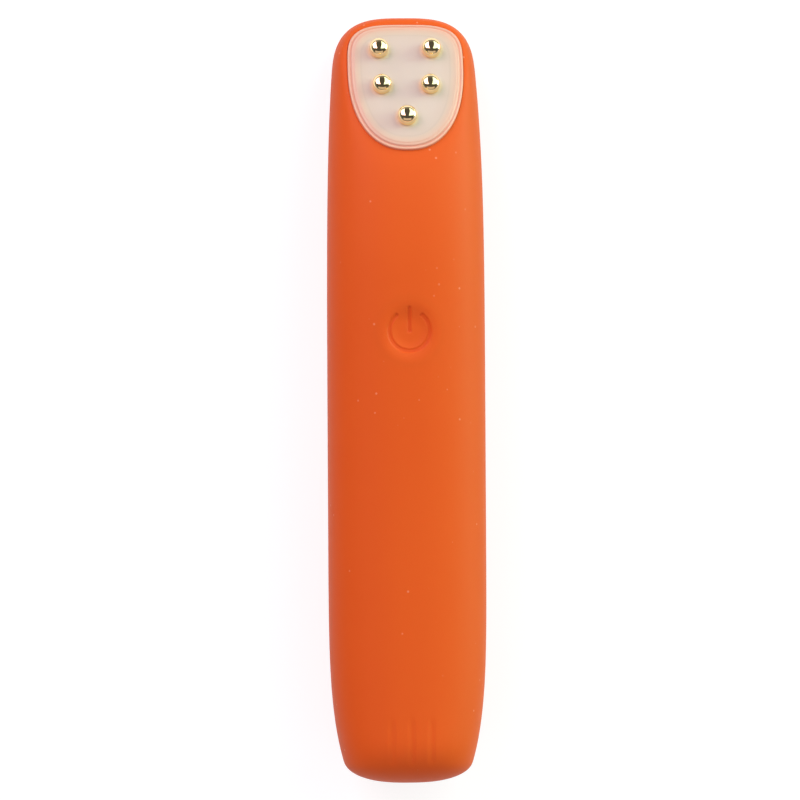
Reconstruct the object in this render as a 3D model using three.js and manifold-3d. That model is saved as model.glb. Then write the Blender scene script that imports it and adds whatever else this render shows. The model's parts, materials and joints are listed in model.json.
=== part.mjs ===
// Vibrating eye massager: a hand-held wand in a one-piece silicone sleeve, lying on its back.
// Millimetres. X runs across, Y along the handle towards the head, Z up out of the button side.
import * as THREE from 'three';
import { mergeVertices } from 'three/addons/utils/BufferGeometryUtils.js';
import Module from 'manifold-3d';

const wasm = await Module();
wasm.setup();

// Whole handle
const handleLength = 140;
const handleWidth = 28.8;
const handleDepth = 24;

// Walls, gaps and cuts
const sleeveWall = 2;
const shellWall = 1.5;
const clearance = 0.3;
const overrun = 1;

// Plan outline: a slow taper towards each end, closed by a superellipse
const widestFromTail = 50;
const headTaper = 2.3;
const tailTaper = 3.9;
const taperPower = 5;
const headCorner = 11;
const headCornerPower = 3.2;
const tailCorner = 4;
const tailCornerPower = 2.5;
const cornerKeepShare = 0.5;

// Side outline: a level front that falls away towards the head, and a flat back
const frontFallFromHead = 48;
const frontFallReach = 22;
const frontFall = 1.8;
const headEndCurve = 12;
const tailEndCurve = 9;
const endCurvePower = 2.5;
const backFlatCut = 0.6;
const seamHeightShare = 0.48;
const sectionPower = 2.6;

// Slanted head facet and its window
const facetDropShare = 0.4411;
const facetMargin = 1.5;
const facetSoftening = 2;
const facetLip = 3;
const headRim = 1.6;
const windowLength = 25.6;
const windowSideRim = 3.85;
const windowTopCorner = 8.4;
const windowTopPower = 3.5;
const windowBottomCurve = 16.8;
const windowBottomPower = 2.3;
const windowProud = 0.5;
const windowThickness = 2.4;
const windowChamfer = 0.5;
const gasketInset = 0.6;
const gasketWidth = 1.6;
const shellLedge = 4;
const ledBoardInset = 3;
const ledBoardThickness = 1;
const ledLength = 2;
const ledWidth = 1.2;
const ledHeight = 0.8;
const lowLedSpread = 2.8;
const lowLedDrop = 16.6;

// Massage beads: a domed stud on a stem, with a collar under the window and a contact pin
const beadRadius = 1.75;
const beadSide = 0.8;
const beadRise = 1.3;
const beadDomePower = 2.4;
const beadFootChamfer = 0.15;
const beadStemRadius = 0.8;
const beadCollarRadius = 1.2;
const beadCollarHeight = 0.5;
const beadPinRadius = 0.6;
const outerBeadShare = 0.454;
const innerBeadShare = 0.4165;
const topBeadDrop = 5.5;
const middleBeadDrop = 12.9;
const bottomBeadDrop = 19.3;

// Power button
const buttonFromHead = 57.7;
const padRadius = 4.95;
const dishDepth = 0.8;
const dishSlope = 1.1;
const symbolRadius = 3.65;
const symbolStroke = 0.7;
const symbolDepth = 0.25;
const symbolBarTop = 4.1;
const symbolGap = THREE.MathUtils.degToRad(40);
const actuatorRadius = 4.2;
const actuatorDisc = 1;
const actuatorStemRadius = 1.6;
const buttonTravel = 0.4;

// Grip grooves near the tail
const grooveCount = 3;
const groovePitch = 3.6;
const grooveWidth = 1;
const grooveDepth = 0.35;
const grooveLength = 8;
const grooveEndGap = 4;

// Main board and what is soldered on it
const boardTopShare = 0.583;
const boardThickness = 1;
const boardLength = 28;
const boardMargin = 1.9;
const switchSize = 6;
const switchHeight = 3.1;
const switchPlungerRadius = 1.7;
const switchPlungerHeight = 1.1;
const switchPlungerProud = 0.6;
const switchWellSpare = 0.5;
const controllerSize = 4;
const controllerHeight = 0.9;
const chargeChipSize = 3;
const chargeChipHeight = 0.8;
const chipSpreadShare = 0.5;
const chipBack = 9;
const coilRadius = 1.6;
const coilHeight = 1.6;
const coilBack = 14.5;
const connectorWidthShare = 0.727;
const connectorLength = 2;
const connectorHeight = 1.3;
const connectorEdge = 1;

// Screws: two tail and two middle ones join the shells, four small ones hold the board
const shellScrewHeadRadius = 1.9;
const shellScrewHead = 1;
const shellScrewRadius = 0.9;
const shellScrewRise = 7;
const shellScrewSeat = 5.4;
const shellBossRadius = 3;
const tailBossEnd = 7.4;
const tailBossShare = 0.36;
const middleBossShare = 0.5;
const boardScrewHeadRadius = 1.5;
const boardScrewHead = 0.9;
const boardScrewRadius = 0.7;
const boardScrewRise = 4;
const boardPostRadius = 1.9;
const boardPostEdge = 2.4;
const recessDepthShare = 0.6;
const recessWidthShare = 0.24;
const recessLengthShare = 1.1;

// Battery
const batteryRoom = 1.2;
const batterySeat = 0.8;
const batteryGap = 2.2;
const tabThickness = 0.25;
const tabWidth = 3;
const batteryPadLength = 18;
const batteryPadWidth = 7;
const batteryPadSpare = 0.5;
const leadRadius = 0.45;
const ribThickness = 1.6;
const ribWidth = 16;
const ribHeight = 3.6;
const batteryRibShares = [0.12, 0.5, 0.88];

// Vibration motor
const motorRadiusShare = 0.61;
const motorLength = 13;
const motorBoreDepth = 6;
const endCapLength = 1.2;
const endCapStep = 0.6;
const bootWall = 0.7;
const bootLength = 9.5;
const shaftRadius = 0.8;
const shaftStick = 0.5;
const weightRadiusShare = 0.76;
const weightHubWall = 0.8;
const weightLength = 3.3;
const weightGap = 0.6;
const motorRibShares = [0.2, 0.8];
const motorLeadShare = 0.3;
const ribbonWidthShare = 0.78;
const ribbonThickness = 0.4;
const ribbonRise = 0.6;

// Charging pins in the back
const pinSpread = 3.2;
const pinsBehindButton = 12.3;
const pinPadRadius = 1.7;
const pinPadHeight = 1.2;
const pinPadRecess = 0.2;
const pinRadius = 0.9;
const pinCollarRadius = 1.6;
const pinCollarHeight = 0.8;

// Facet counts
const sleeveRings = 30;
const sleeveSides = 36;
const innerRings = 20;
const innerSides = 24;
const ringSpacingPower = 1.8;
const outlineSteps = 6;
const roundSides = 24;
const smallSides = 12;
const wireSides = 8;
const wireSteps = 10;

// Worked out from the sizes above
const halfLength = handleLength / 2;
const shellInset = sleeveWall + clearance;
const cavityInset = shellInset + shellWall;
const widestPlace = widestFromTail - halfLength;
const frontFallStart = halfLength - frontFallFromHead;
const windowWidth = handleWidth - windowSideRim * 2;
const outerBeadSpread = windowWidth / 2 * outerBeadShare;
const innerBeadSpread = windowWidth / 2 * innerBeadShare;
const facetTilt = Math.asin(facetDropShare * handleDepth / windowLength);
const windowTop = halfLength - headRim;
const windowBottom = windowTop - windowLength * Math.cos(facetTilt);
const facetStart = windowBottom - facetMargin;
const facetFoot = frontHeight(facetStart);
const facetTipHeight = facetHeight(windowTop);
const windowUnder = windowThickness - windowProud;
const shellFacetDepth = facetLip + clearance;
const cavityFacetDepth = shellFacetDepth + shellWall;
const gasketTop = windowUnder + clearance;
const ledBoardTop = cavityFacetDepth + clearance;
const ledBoardUnder = ledBoardTop + ledBoardThickness;
const ceiling = handleDepth - cavityInset;

// Chain of places along the handle, from the head back to the tail
const ledBoardEnd = windowTop - (windowLength - ledBoardInset) * Math.cos(facetTilt)
  - ledBoardUnder * Math.sin(facetTilt);
const shaftEnd = ledBoardEnd - weightGap;
const weightFront = shaftEnd - shaftStick;
const weightBack = weightFront - weightLength;
const motorRadius = (ceiling - cavityInset) / 2 * motorRadiusShare;
const endCapRadius = motorRadius - endCapStep;
const weightRadius = motorRadius * weightRadiusShare;
const weightHubRadius = shaftRadius + clearance + weightHubWall;
const motorFront = weightBack - weightGap;
const motorBack = motorFront - motorLength;
const endCapFront = motorBack - clearance;
const endCapBack = endCapFront - endCapLength;
const bootRadius = motorRadius + clearance + bootWall;
const motorHeight = cavityInset + clearance + bootRadius;
const middleBossPlace = endCapBack - clearance - shellBossRadius;
const boardFront = middleBossPlace - shellBossRadius - clearance;
const boardBack = boardFront - boardLength;
const boardTop = handleDepth * boardTopShare;
const boardUnder = boardTop - boardThickness;
const boardHalfWidth = handleWidth / 2 - cavityInset - boardMargin;
const boardScrewSpread = boardHalfWidth - boardPostEdge;
const connectorWidth = (boardScrewSpread - boardPostRadius) * 2 * connectorWidthShare;
const ribbonWidth = connectorWidth * ribbonWidthShare;
const motorLeadSpread = boardScrewSpread * motorLeadShare;
const chipSpread = boardHalfWidth * chipSpreadShare;
const buttonPlace = halfLength - buttonFromHead;
const pinPlace = buttonPlace - pinsBehindButton;
const tailBossSpread = handleWidth / 2 * tailBossShare;
const middleBossSpread = handleWidth / 2 * middleBossShare;
const batteryFront = boardBack - batteryGap;
const tailBossPlace = tailBossEnd - halfLength;
const batteryBack = tailBossPlace + shellBossRadius + batteryGap - clearance * 2;
const roomBesideBattery = halfWidth(batteryBack, cavityInset) - clearance * 2 - leadRadius * 3;
const batteryRadius = Math.min((ceiling - cavityInset) / 2 - batteryRoom, roomBesideBattery);
const batteryHeight = cavityInset + batterySeat + batteryRadius;

// A share of a full turn-in at a distance from an end: nothing at the end, one past the curve's reach
function closing(distance, reach, power) {
  const left = Math.max(0, 1 - distance / reach);
  return Math.pow(1 - Math.pow(left, power), 1 / power);
}

// A power of the size of a number, with its sign kept
function signedPower(value, power) {
  return Math.sign(value) * Math.pow(Math.abs(value), power);
}

// Height of the front before the head facet is cut: level, then an arc, then its straight tangent
function frontHeight(y) {
  const along = (y - frontFallStart) / frontFallReach;
  if (along <= 0) return handleDepth;
  if (along <= 1) return handleDepth - frontFall * along * along;
  return handleDepth - frontFall * (2 * along - 1);
}

// Height of the slanted facet's plane
function facetHeight(y) {
  return facetFoot - (y - facetStart) * Math.tan(facetTilt);
}

// Height of the widest line of the sides, where the two shells part
function seamHeight(y) {
  const front = frontHeight(y);
  const facet = facetHeight(y);
  const lower = (front + facet - Math.hypot(front - facet, facetSoftening)) / 2;
  return seamHeightShare * Math.min(lower, handleDepth);
}

// Half width of the handle, or of a body set in from it by one wall or more
function halfWidth(y, inset) {
  const headward = y > widestPlace;
  const run = headward ? halfLength - widestPlace : halfLength + widestPlace;
  const taper = (headward ? headTaper : tailTaper) * Math.pow(Math.abs(y - widestPlace) / run, taperPower);
  const atHead = closing(halfLength - inset - y, headCorner - inset * cornerKeepShare, headCornerPower);
  const atTail = closing(halfLength - inset + y, tailCorner - inset * cornerKeepShare, tailCornerPower);
  return (handleWidth / 2 - inset - taper) * atHead * atTail;
}

// How far the front and back have opened up at a distance from the two ends
function depthOpening(y, inset) {
  const atHead = closing(halfLength - inset - y, headEndCurve - inset * cornerKeepShare, endCurvePower);
  const atTail = closing(halfLength - inset + y, tailEndCurve - inset * cornerKeepShare, endCurvePower);
  return atHead * atTail;
}

// A point of the handle's skin: a superellipse section, flat on the back
function skinPoint(y, angle, inset) {
  const seam = seamHeight(y);
  const across = signedPower(Math.cos(angle), 2 / sectionPower);
  const upward = signedPower(Math.sin(angle), 2 / sectionPower);
  const reach = upward > 0 ? frontHeight(y) - inset - seam : seam + backFlatCut - inset;
  const z = seam + reach * upward * depthOpening(y, inset);
  return [halfWidth(y, inset) * across, y, Math.max(z, inset)];
}

// A manifold solid from a closed three.js geometry
function solidOf(geometry) {
  const bare = geometry.clone();
  bare.deleteAttribute('normal');
  bare.deleteAttribute('uv');
  const merged = mergeVertices(bare);
  const index = merged.index.array;
  const triVerts = [];
  for (let i = 0; i < index.length; i += 3) {
    const [a, b, c] = [index[i], index[i + 1], index[i + 2]];
    if (a !== b && b !== c && c !== a) triVerts.push(a, b, c);
  }
  return new wasm.Manifold(new wasm.Mesh({
    numProp: 3,
    vertProperties: new Float32Array(merged.attributes.position.array),
    triVerts: new Uint32Array(triVerts),
  }));
}

// A three.js geometry from a manifold solid
function geometryOf(solid) {
  const mesh = solid.getMesh();
  const geometry = new THREE.BufferGeometry();
  geometry.setAttribute('position', new THREE.BufferAttribute(new Float32Array(mesh.vertProperties), 3));
  geometry.setIndex(new THREE.BufferAttribute(new Uint32Array(mesh.triVerts), 1));
  geometry.computeVertexNormals();
  return geometry;
}

// Adds and takes away whole lists of solids
function joined(solid, others) {
  return others.reduce((sum, other) => sum.add(other), solid);
}

function cutBy(solid, tools) {
  return tools.reduce((left, tool) => left.subtract(tool), solid);
}

// Frame of the head facet: its origin is on the facet at the window's top edge, with Z out of it
const facetFrame = new THREE.Matrix4()
  .makeTranslation(0, windowTop, facetTipHeight)
  .multiply(new THREE.Matrix4().makeRotationX(-facetTilt));

// A handle-shaped body set in from the skin, with its facet at its own depth
function handleBody(inset, facetDepth, rings, sides) {
  const points = [];
  const reach = halfLength - inset;
  points.push(0, -reach, seamHeight(-reach));
  for (let ring = 1; ring < rings; ring += 1) {
    const along = 2 * ring / rings - 1;
    const y = Math.sign(along) * reach * (1 - Math.pow(1 - Math.abs(along), ringSpacingPower));
    for (let side = 0; side < sides; side += 1) {
      points.push(...skinPoint(y, (side / sides) * Math.PI * 2, inset));
    }
  }
  points.push(0, reach, Math.max(seamHeight(reach), inset));
  const last = points.length / 3 - 1;
  const faces = [];
  for (let side = 0; side < sides; side += 1) {
    const next = (side + 1) % sides;
    faces.push(0, 1 + side, 1 + next);
    faces.push(last, last - sides + next, last - sides + side);
    for (let ring = 0; ring < rings - 2; ring += 1) {
      const near = 1 + ring * sides;
      const far = near + sides;
      faces.push(near + side, far + side, near + next);
      faces.push(near + next, far + side, far + next);
    }
  }
  const geometry = new THREE.BufferGeometry();
  geometry.setAttribute('position', new THREE.BufferAttribute(new Float32Array(points), 3));
  geometry.setIndex(faces);
  const aboveFacet = new THREE.BoxGeometry(handleWidth * 2, handleLength, handleDepth);
  aboveFacet.translate(0, 0, handleDepth / 2 - facetDepth);
  aboveFacet.applyMatrix4(facetFrame);
  return solidOf(geometry).subtract(solidOf(aboveFacet));
}

// Simple geometries by their real places
function block(width, length, height, x, y, low) {
  const geometry = new THREE.BoxGeometry(width, length, height);
  geometry.translate(x, y, low + height / 2);
  return geometry;
}

function uprightRod(radius, low, high, x, y, sides) {
  const geometry = new THREE.CylinderGeometry(radius, radius, high - low, sides);
  geometry.rotateX(Math.PI / 2);
  geometry.translate(x, y, (low + high) / 2);
  return geometry;
}

function lengthwiseRod(radius, back, front, x, z, sides) {
  const geometry = new THREE.CylinderGeometry(radius, radius, front - back, sides);
  geometry.translate(x, (back + front) / 2, z);
  return geometry;
}

function turned(profile, sides) {
  const geometry = new THREE.LatheGeometry(profile.map(([r, z]) => new THREE.Vector2(r, z)), sides);
  geometry.rotateX(Math.PI / 2);
  return geometryOf(solidOf(geometry));
}

function extruded(shape, low, high, steps) {
  const geometry = new THREE.ExtrudeGeometry(shape, {
    depth: high - low,
    bevelEnabled: false,
    curveSegments: steps,
  });
  geometry.translate(0, 0, low);
  return geometry;
}

// A side outline in Y and Z, carried across the handle
function carriedAcross(outline, width) {
  const shape = new THREE.Shape(outline.map(([y, z]) => new THREE.Vector2(y, z)));
  const geometry = extruded(shape, -width / 2, width / 2, 1);
  const across = new THREE.Matrix4().makeBasis(
    new THREE.Vector3(0, 1, 0),
    new THREE.Vector3(0, 0, 1),
    new THREE.Vector3(1, 0, 0),
  );
  return geometry.applyMatrix4(across);
}

// A thin wire along a smooth line through hand-placed points
function wire(radius, points) {
  const line = new THREE.CatmullRomCurve3(points.map((p) => new THREE.Vector3(...p)));
  const section = new THREE.Shape();
  section.absarc(0, 0, radius, 0, Math.PI * 2);
  return new THREE.ExtrudeGeometry(section, {
    steps: wireSteps,
    curveSegments: wireSides / 2,
    extrudePath: line,
  });
}

// The window's outline on the facet, set in by a margin: a flat top with round corners and a U below
function windowOutline(inset) {
  const half = windowWidth / 2 - inset;
  const right = [];
  for (let step = 0; step <= outlineSteps; step += 1) {
    const turn = (step / outlineSteps) * Math.PI / 2;
    const across = half * signedPower(Math.sin(turn), 2 / windowTopPower);
    const rise = signedPower(Math.cos(turn), 2 / windowTopPower);
    right.push([across, (windowTopCorner - inset) * (rise - 1) - inset]);
  }
  for (let step = 0; step <= outlineSteps; step += 1) {
    const turn = (step / outlineSteps) * Math.PI / 2;
    const across = half * signedPower(Math.cos(turn), 2 / windowBottomPower);
    const fall = signedPower(Math.sin(turn), 2 / windowBottomPower);
    right.push([across, (windowBottomCurve - inset) * (1 - fall) - (windowLength - inset)]);
  }
  const left = right.slice(1, -1).reverse().map(([x, y]) => [-x, y]);
  return new THREE.Shape([...right, ...left].reverse().map(([x, y]) => new THREE.Vector2(x, y)));
}

// Materials, one kind for each finish
function finish(color, roughness, metalness) {
  return () => new THREE.MeshStandardMaterial({ color, roughness, metalness });
}

const siliconeOrange = finish(0xe8602a, 0.55, 0);
const milkyPlastic = finish(0xe6d6c8, 0.25, 0);
const goldPlate = finish(0xd9b25a, 0.15, 1);
const whitePlastic = finish(0xdedbd2, 0.5, 0);
const paleRubber = finish(0xcfc8bd, 0.8, 0);
const darkRubber = finish(0x2e2e30, 0.8, 0);
const boardGreen = finish(0x1f6b3a, 0.5, 0);
const chipBlack = finish(0x1b1b1d, 0.5, 0);
const bareSteel = finish(0xb4b6b8, 0.3, 1);
const cellBlue = finish(0x3a6ea5, 0.4, 0);
const nickel = finish(0xc9c5b8, 0.3, 1);
const foamGrey = finish(0x54555a, 0.9, 0);
const redWire = finish(0xb3261e, 0.5, 0);
const blackWire = finish(0x1c1c1e, 0.5, 0);
const ledYellow = finish(0xf2d98a, 0.3, 0);
const brightAlloy = finish(0xa8a9ad, 0.35, 1);

const massager = new THREE.Group();
const head = new THREE.Group();
head.applyMatrix4(facetFrame);
massager.add(head);

function addPart(name, shape, material, parent = massager) {
  const geometry = shape.isBufferGeometry ? shape : geometryOf(shape);
  const mesh = new THREE.Mesh(geometry, material());
  mesh.name = name;
  parent.add(mesh);
}

// Silicone sleeve: hollow, open at the window, the button and the two charging pins
function sleeve() {
  const outer = handleBody(0, 0, sleeveRings, sleeveSides);
  const hollow = handleBody(sleeveWall, facetLip, innerRings, innerSides);
  const opening = extruded(windowOutline(-clearance), -facetLip - overrun, overrun, 1);
  opening.applyMatrix4(facetFrame);
  const floor = handleDepth - dishDepth;
  const holeRadius = padRadius + clearance;
  const dish = turned([
    [0, floor - sleeveWall - overrun],
    [holeRadius, floor - sleeveWall - overrun],
    [holeRadius, floor],
    [holeRadius + dishSlope * (1 + overrun / dishDepth), handleDepth + overrun],
    [0, handleDepth + overrun],
  ], roundSides);
  dish.translate(0, buttonPlace, 0);
  const pinHoles = [-1, 1].map((side) => solidOf(uprightRod(
    pinPadRadius + clearance, -overrun, sleeveWall + overrun, side * pinSpread, pinPlace, smallSides,
  )));
  const grooveFloor = handleBody(grooveDepth, 0, sleeveRings, sleeveSides);
  const grooves = [];
  for (let groove = 0; groove < grooveCount; groove += 1) {
    const x = (groove - (grooveCount - 1) / 2) * groovePitch;
    const y = grooveEndGap + grooveLength / 2 - halfLength;
    const slot = block(grooveWidth, grooveLength, handleDepth, x, y, handleDepth / 2);
    grooves.push(solidOf(slot).subtract(grooveFloor));
  }
  return cutBy(outer, [hollow, solidOf(opening), solidOf(dish), ...pinHoles, ...grooves]);
}

// Press pad of the sleeve, with the power symbol sunk in it
function buttonPad() {
  const top = handleDepth - dishDepth;
  const pad = solidOf(uprightRod(padRadius, handleDepth - sleeveWall, top, 0, buttonPlace, roundSides));
  const outer = symbolRadius + symbolStroke / 2;
  const inner = symbolRadius - symbolStroke / 2;
  const start = Math.PI / 2 + symbolGap;
  const end = Math.PI / 2 - symbolGap + Math.PI * 2;
  const ring = new THREE.Shape();
  ring.absarc(0, 0, outer, start, end, false);
  ring.absarc(0, 0, inner, end, start, true);
  const bar = new THREE.Shape();
  bar.absarc(0, symbolBarTop, symbolStroke / 2, 0, Math.PI, false);
  bar.absarc(0, 0, symbolStroke / 2, Math.PI, Math.PI * 2, false);
  const cutters = [[ring, roundSides], [bar, wireSides]].map(([shape, steps]) => {
    const cutter = extruded(shape, top - symbolDepth, top + overrun, steps);
    cutter.translate(0, buttonPlace, 0);
    return solidOf(cutter);
  });
  return cutBy(pad, cutters);
}

// Milky window: a plate with a chamfered rim and five holes for the bead stems
function headWindow() {
  const geometry = new THREE.ExtrudeGeometry(windowOutline(0), {
    depth: windowThickness - windowChamfer * 2,
    bevelThickness: windowChamfer,
    bevelSize: windowChamfer,
    bevelOffset: -windowChamfer,
    bevelSegments: 1,
  });
  geometry.translate(0, 0, windowChamfer - windowUnder);
  const holes = beadPlaces().map(([x, y]) => solidOf(uprightRod(
    beadStemRadius + clearance, -windowUnder - overrun, windowProud + overrun, x, y, smallSides,
  )));
  return cutBy(solidOf(geometry), holes);
}

// Gasket between the window's rim and the ledge of the front shell
function windowGasket() {
  const ring = windowOutline(gasketInset);
  ring.holes.push(windowOutline(gasketInset + gasketWidth));
  return extruded(ring, -facetLip, -gasketTop, 1);
}

// The five beads' places on the facet: two rows of two and one below
function beadPlaces() {
  return [
    [-outerBeadSpread, -topBeadDrop],
    [outerBeadSpread, -topBeadDrop],
    [-innerBeadSpread, -middleBeadDrop],
    [innerBeadSpread, -middleBeadDrop],
    [0, -bottomBeadDrop],
  ];
}

// One bead: contact pin, collar under the window, stem through it and the polished domed stud
function massageBead() {
  const foot = windowProud + clearance;
  const shoulder = foot + beadSide;
  const profile = [
    [0, clearance - ledBoardTop],
    [beadPinRadius, clearance - ledBoardTop],
    [beadPinRadius, -gasketTop - beadCollarHeight],
    [beadCollarRadius, -gasketTop - beadCollarHeight],
    [beadCollarRadius, -gasketTop],
    [beadStemRadius, -gasketTop],
    [beadStemRadius, foot],
    [beadRadius - beadFootChamfer, foot],
    [beadRadius, foot + beadFootChamfer],
  ];
  const steps = smallSides / 2;
  for (let step = 0; step <= steps; step += 1) {
    const turn = (Math.PI / 2) * (step / steps);
    const radius = step === steps ? 0 : beadRadius * Math.cos(turn) ** (2 / beadDomePower);
    profile.push([radius, shoulder + beadRise * Math.sin(turn) ** (2 / beadDomePower)]);
  }
  return turned(profile, smallSides);
}

// Places of the lamps on the light board, clear of the bead pins
function lampPlaces() {
  return [
    [0, -topBeadDrop],
    [0, -middleBeadDrop],
    [-lowLedSpread, -lowLedDrop],
    [lowLedSpread, -lowLedDrop],
  ];
}

// Cutter over or under the curved line where the two shells part
function partingCutter(keepFront) {
  const edge = keepFront ? -handleDepth : handleDepth * 2;
  const offset = (keepFront ? 1 : -1) * clearance / 2;
  const outline = [[halfLength + overrun, edge], [-halfLength - overrun, edge]];
  for (let ring = 0; ring <= innerRings; ring += 1) {
    const y = (2 * ring / innerRings - 1) * (halfLength + overrun);
    outline.push([y, seamHeight(y) + offset]);
  }
  return solidOf(carriedAcross(keepFront ? outline.reverse() : outline, handleWidth * 2));
}

// Places of the four bosses that take the shell screws
function shellScrewPlaces() {
  return [
    [-tailBossSpread, tailBossPlace],
    [tailBossSpread, tailBossPlace],
    [-middleBossSpread, middleBossPlace],
    [middleBossSpread, middleBossPlace],
  ];
}

// Places of the four posts that carry the main board
function boardScrewPlaces() {
  const x = boardScrewSpread;
  const back = boardBack + boardPostEdge;
  const front = boardFront - boardPostEdge;
  return [[-x, back], [x, back], [-x, front], [x, front]];
}

// A whole hollow shell before it is parted, with solid pieces inside kept to its outline
function hollowShell(inside) {
  const outer = handleBody(shellInset, shellFacetDepth, innerRings, innerSides);
  const cavity = handleBody(cavityInset, cavityFacetDepth, innerRings, innerSides);
  return joined(outer.subtract(cavity), inside.map((piece) => solidOf(piece).intersect(outer)));
}

// Front shell: window ledge, button hole, board posts and screw bosses
function frontShell() {
  const bosses = shellScrewPlaces().map(([x, y]) => (
    uprightRod(shellBossRadius, seamHeight(y) - overrun, handleDepth, x, y, smallSides)
  ));
  const posts = boardScrewPlaces().map(([x, y]) => (
    uprightRod(boardPostRadius, boardTop + clearance, handleDepth, x, y, smallSides)
  ));
  const light = extruded(windowOutline(shellLedge), -cavityFacetDepth - overrun, 0, 1);
  light.applyMatrix4(facetFrame);
  const buttonHole = uprightRod(
    padRadius + clearance, ceiling - overrun, handleDepth, 0, buttonPlace, roundSides,
  );
  const screwHoles = shellScrewPlaces().map(([x, y]) => uprightRod(
    shellScrewRadius + clearance, 0, shellScrewSeat + shellScrewRise + clearance * 2, x, y, smallSides,
  ));
  const pilotHoles = boardScrewPlaces().map(([x, y]) => uprightRod(
    boardScrewRadius + clearance, boardTop, boardTop + boardScrewRise + clearance, x, y, smallSides,
  ));
  const cutters = [light, buttonHole, ...screwHoles, ...pilotHoles].map(solidOf);
  return cutBy(hollowShell([...bosses, ...posts]), [partingCutter(true), ...cutters]);
}

// A rib across the back shell with a round saddle cut in it
function saddleRib(y, saddleRadius, saddleHeight) {
  const rib = block(ribWidth, ribThickness, ribHeight + clearance, 0, y, cavityInset - clearance);
  const saddle = lengthwiseRod(
    saddleRadius, y - ribThickness, y + ribThickness, 0, saddleHeight, roundSides,
  );
  return geometryOf(solidOf(rib).subtract(solidOf(saddle)));
}

// Back shell: battery and motor saddles, screw bosses with sunk heads and charging pin holes
function backShell() {
  const bosses = shellScrewPlaces().map(([x, y]) => (
    uprightRod(shellBossRadius, 0, handleDepth / 2 + overrun, x, y, smallSides)
  ));
  const batteryRibs = batteryRibShares.map((share) => (
    saddleRib(batteryBack + (batteryFront - batteryBack) * share, batteryRadius + clearance, batteryHeight)
  ));
  const motorRibs = motorRibShares.map((share) => (
    saddleRib(motorBack + motorLength * share, bootRadius + clearance, motorHeight)
  ));
  const headHoles = shellScrewPlaces().map(([x, y]) => (
    uprightRod(shellScrewHeadRadius + clearance, -overrun, shellScrewSeat, x, y, smallSides)
  ));
  const shankHoles = shellScrewPlaces().map(([x, y]) => (
    uprightRod(shellScrewRadius + clearance, 0, handleDepth, x, y, smallSides)
  ));
  const pinHoles = [-1, 1].map((side) => (
    uprightRod(pinRadius + clearance, 0, cavityInset + overrun, side * pinSpread, pinPlace, smallSides)
  ));
  const cutters = [...headHoles, ...shankHoles, ...pinHoles].map(solidOf);
  const whole = hollowShell([...bosses, ...batteryRibs, ...motorRibs]);
  return cutBy(whole, [partingCutter(false), ...cutters]);
}

// A screw with its head down and a cross recess in it
function crossScrew(headRadius, headHeight, shankRadius, shankLength) {
  const body = solidOf(turned([
    [0, -headHeight],
    [headRadius, -headHeight],
    [headRadius, 0],
    [shankRadius, 0],
    [shankRadius, shankLength],
    [0, shankLength],
  ], smallSides));
  const width = headRadius * recessWidthShare;
  const length = headRadius * recessLengthShare;
  const depth = headHeight * recessDepthShare;
  const slots = [[width, length], [length, width]].map(([wide, long]) => (
    solidOf(block(wide, long, depth + overrun, 0, 0, -headHeight - overrun))
  ));
  return cutBy(body, slots);
}

// Actuator: a disc under the pad with a stem down to the switch
function actuator() {
  const top = handleDepth - sleeveWall - clearance;
  const bottom = boardTop + clearance + switchHeight + switchPlungerProud + clearance;
  return turned([
    [0, bottom],
    [actuatorStemRadius, bottom],
    [actuatorStemRadius, top - actuatorDisc],
    [actuatorRadius, top - actuatorDisc],
    [actuatorRadius, top],
    [0, top],
  ], roundSides);
}

// Switch body with a well that the plunger slides in
function switchBody() {
  const low = boardTop + clearance;
  const body = block(switchSize, switchSize, switchHeight, 0, buttonPlace, low);
  const plungerLow = low + switchHeight + switchPlungerProud - switchPlungerHeight;
  const well = uprightRod(
    switchPlungerRadius + clearance,
    plungerLow - buttonTravel - switchWellSpare,
    low + switchHeight + overrun,
    0, buttonPlace, smallSides,
  );
  return solidOf(body).subtract(solidOf(well));
}

function switchPlunger() {
  const top = boardTop + clearance + switchHeight + switchPlungerProud;
  return uprightRod(switchPlungerRadius, top - switchPlungerHeight, top, 0, buttonPlace, smallSides);
}

// Main board with its four screw holes
function mainBoard() {
  const board = block(
    boardHalfWidth * 2, boardLength, boardThickness, 0, (boardFront + boardBack) / 2, boardUnder,
  );
  const holes = boardScrewPlaces().map(([x, y]) => solidOf(uprightRod(
    boardScrewRadius + clearance, boardUnder - overrun, boardTop + overrun, x, y, smallSides,
  )));
  return cutBy(solidOf(board), holes);
}

// Motor can with the bore that its shaft runs in
function motorCan() {
  const can = lengthwiseRod(motorRadius, motorBack, motorFront, 0, motorHeight, roundSides);
  const bore = lengthwiseRod(
    shaftRadius + clearance, motorFront - motorBoreDepth, motorFront + overrun, 0, motorHeight, smallSides,
  );
  return solidOf(can).subtract(solidOf(bore));
}

// Rubber boot round the can
function motorBoot() {
  const front = (motorFront + motorBack + bootLength) / 2;
  const outside = lengthwiseRod(bootRadius, front - bootLength, front, 0, motorHeight, roundSides);
  const inside = lengthwiseRod(
    motorRadius + clearance, front - bootLength - overrun, front + overrun, 0, motorHeight, roundSides,
  );
  return solidOf(outside).subtract(solidOf(inside));
}

// Half-round eccentric weight that hangs from its hub
function eccentricWeight() {
  const hub = lengthwiseRod(weightHubRadius, weightBack, weightFront, 0, motorHeight, smallSides);
  const disc = lengthwiseRod(weightRadius, weightBack, weightFront, 0, motorHeight, roundSides);
  const upperHalf = block(
    weightRadius * 3, weightLength + overrun * 2, weightRadius + overrun,
    0, (weightBack + weightFront) / 2, motorHeight,
  );
  const bore = lengthwiseRod(
    shaftRadius + clearance, weightBack - overrun, weightFront + overrun, 0, motorHeight, smallSides,
  );
  return solidOf(disc).subtract(solidOf(upperHalf)).add(solidOf(hub)).subtract(solidOf(bore));
}

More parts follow.
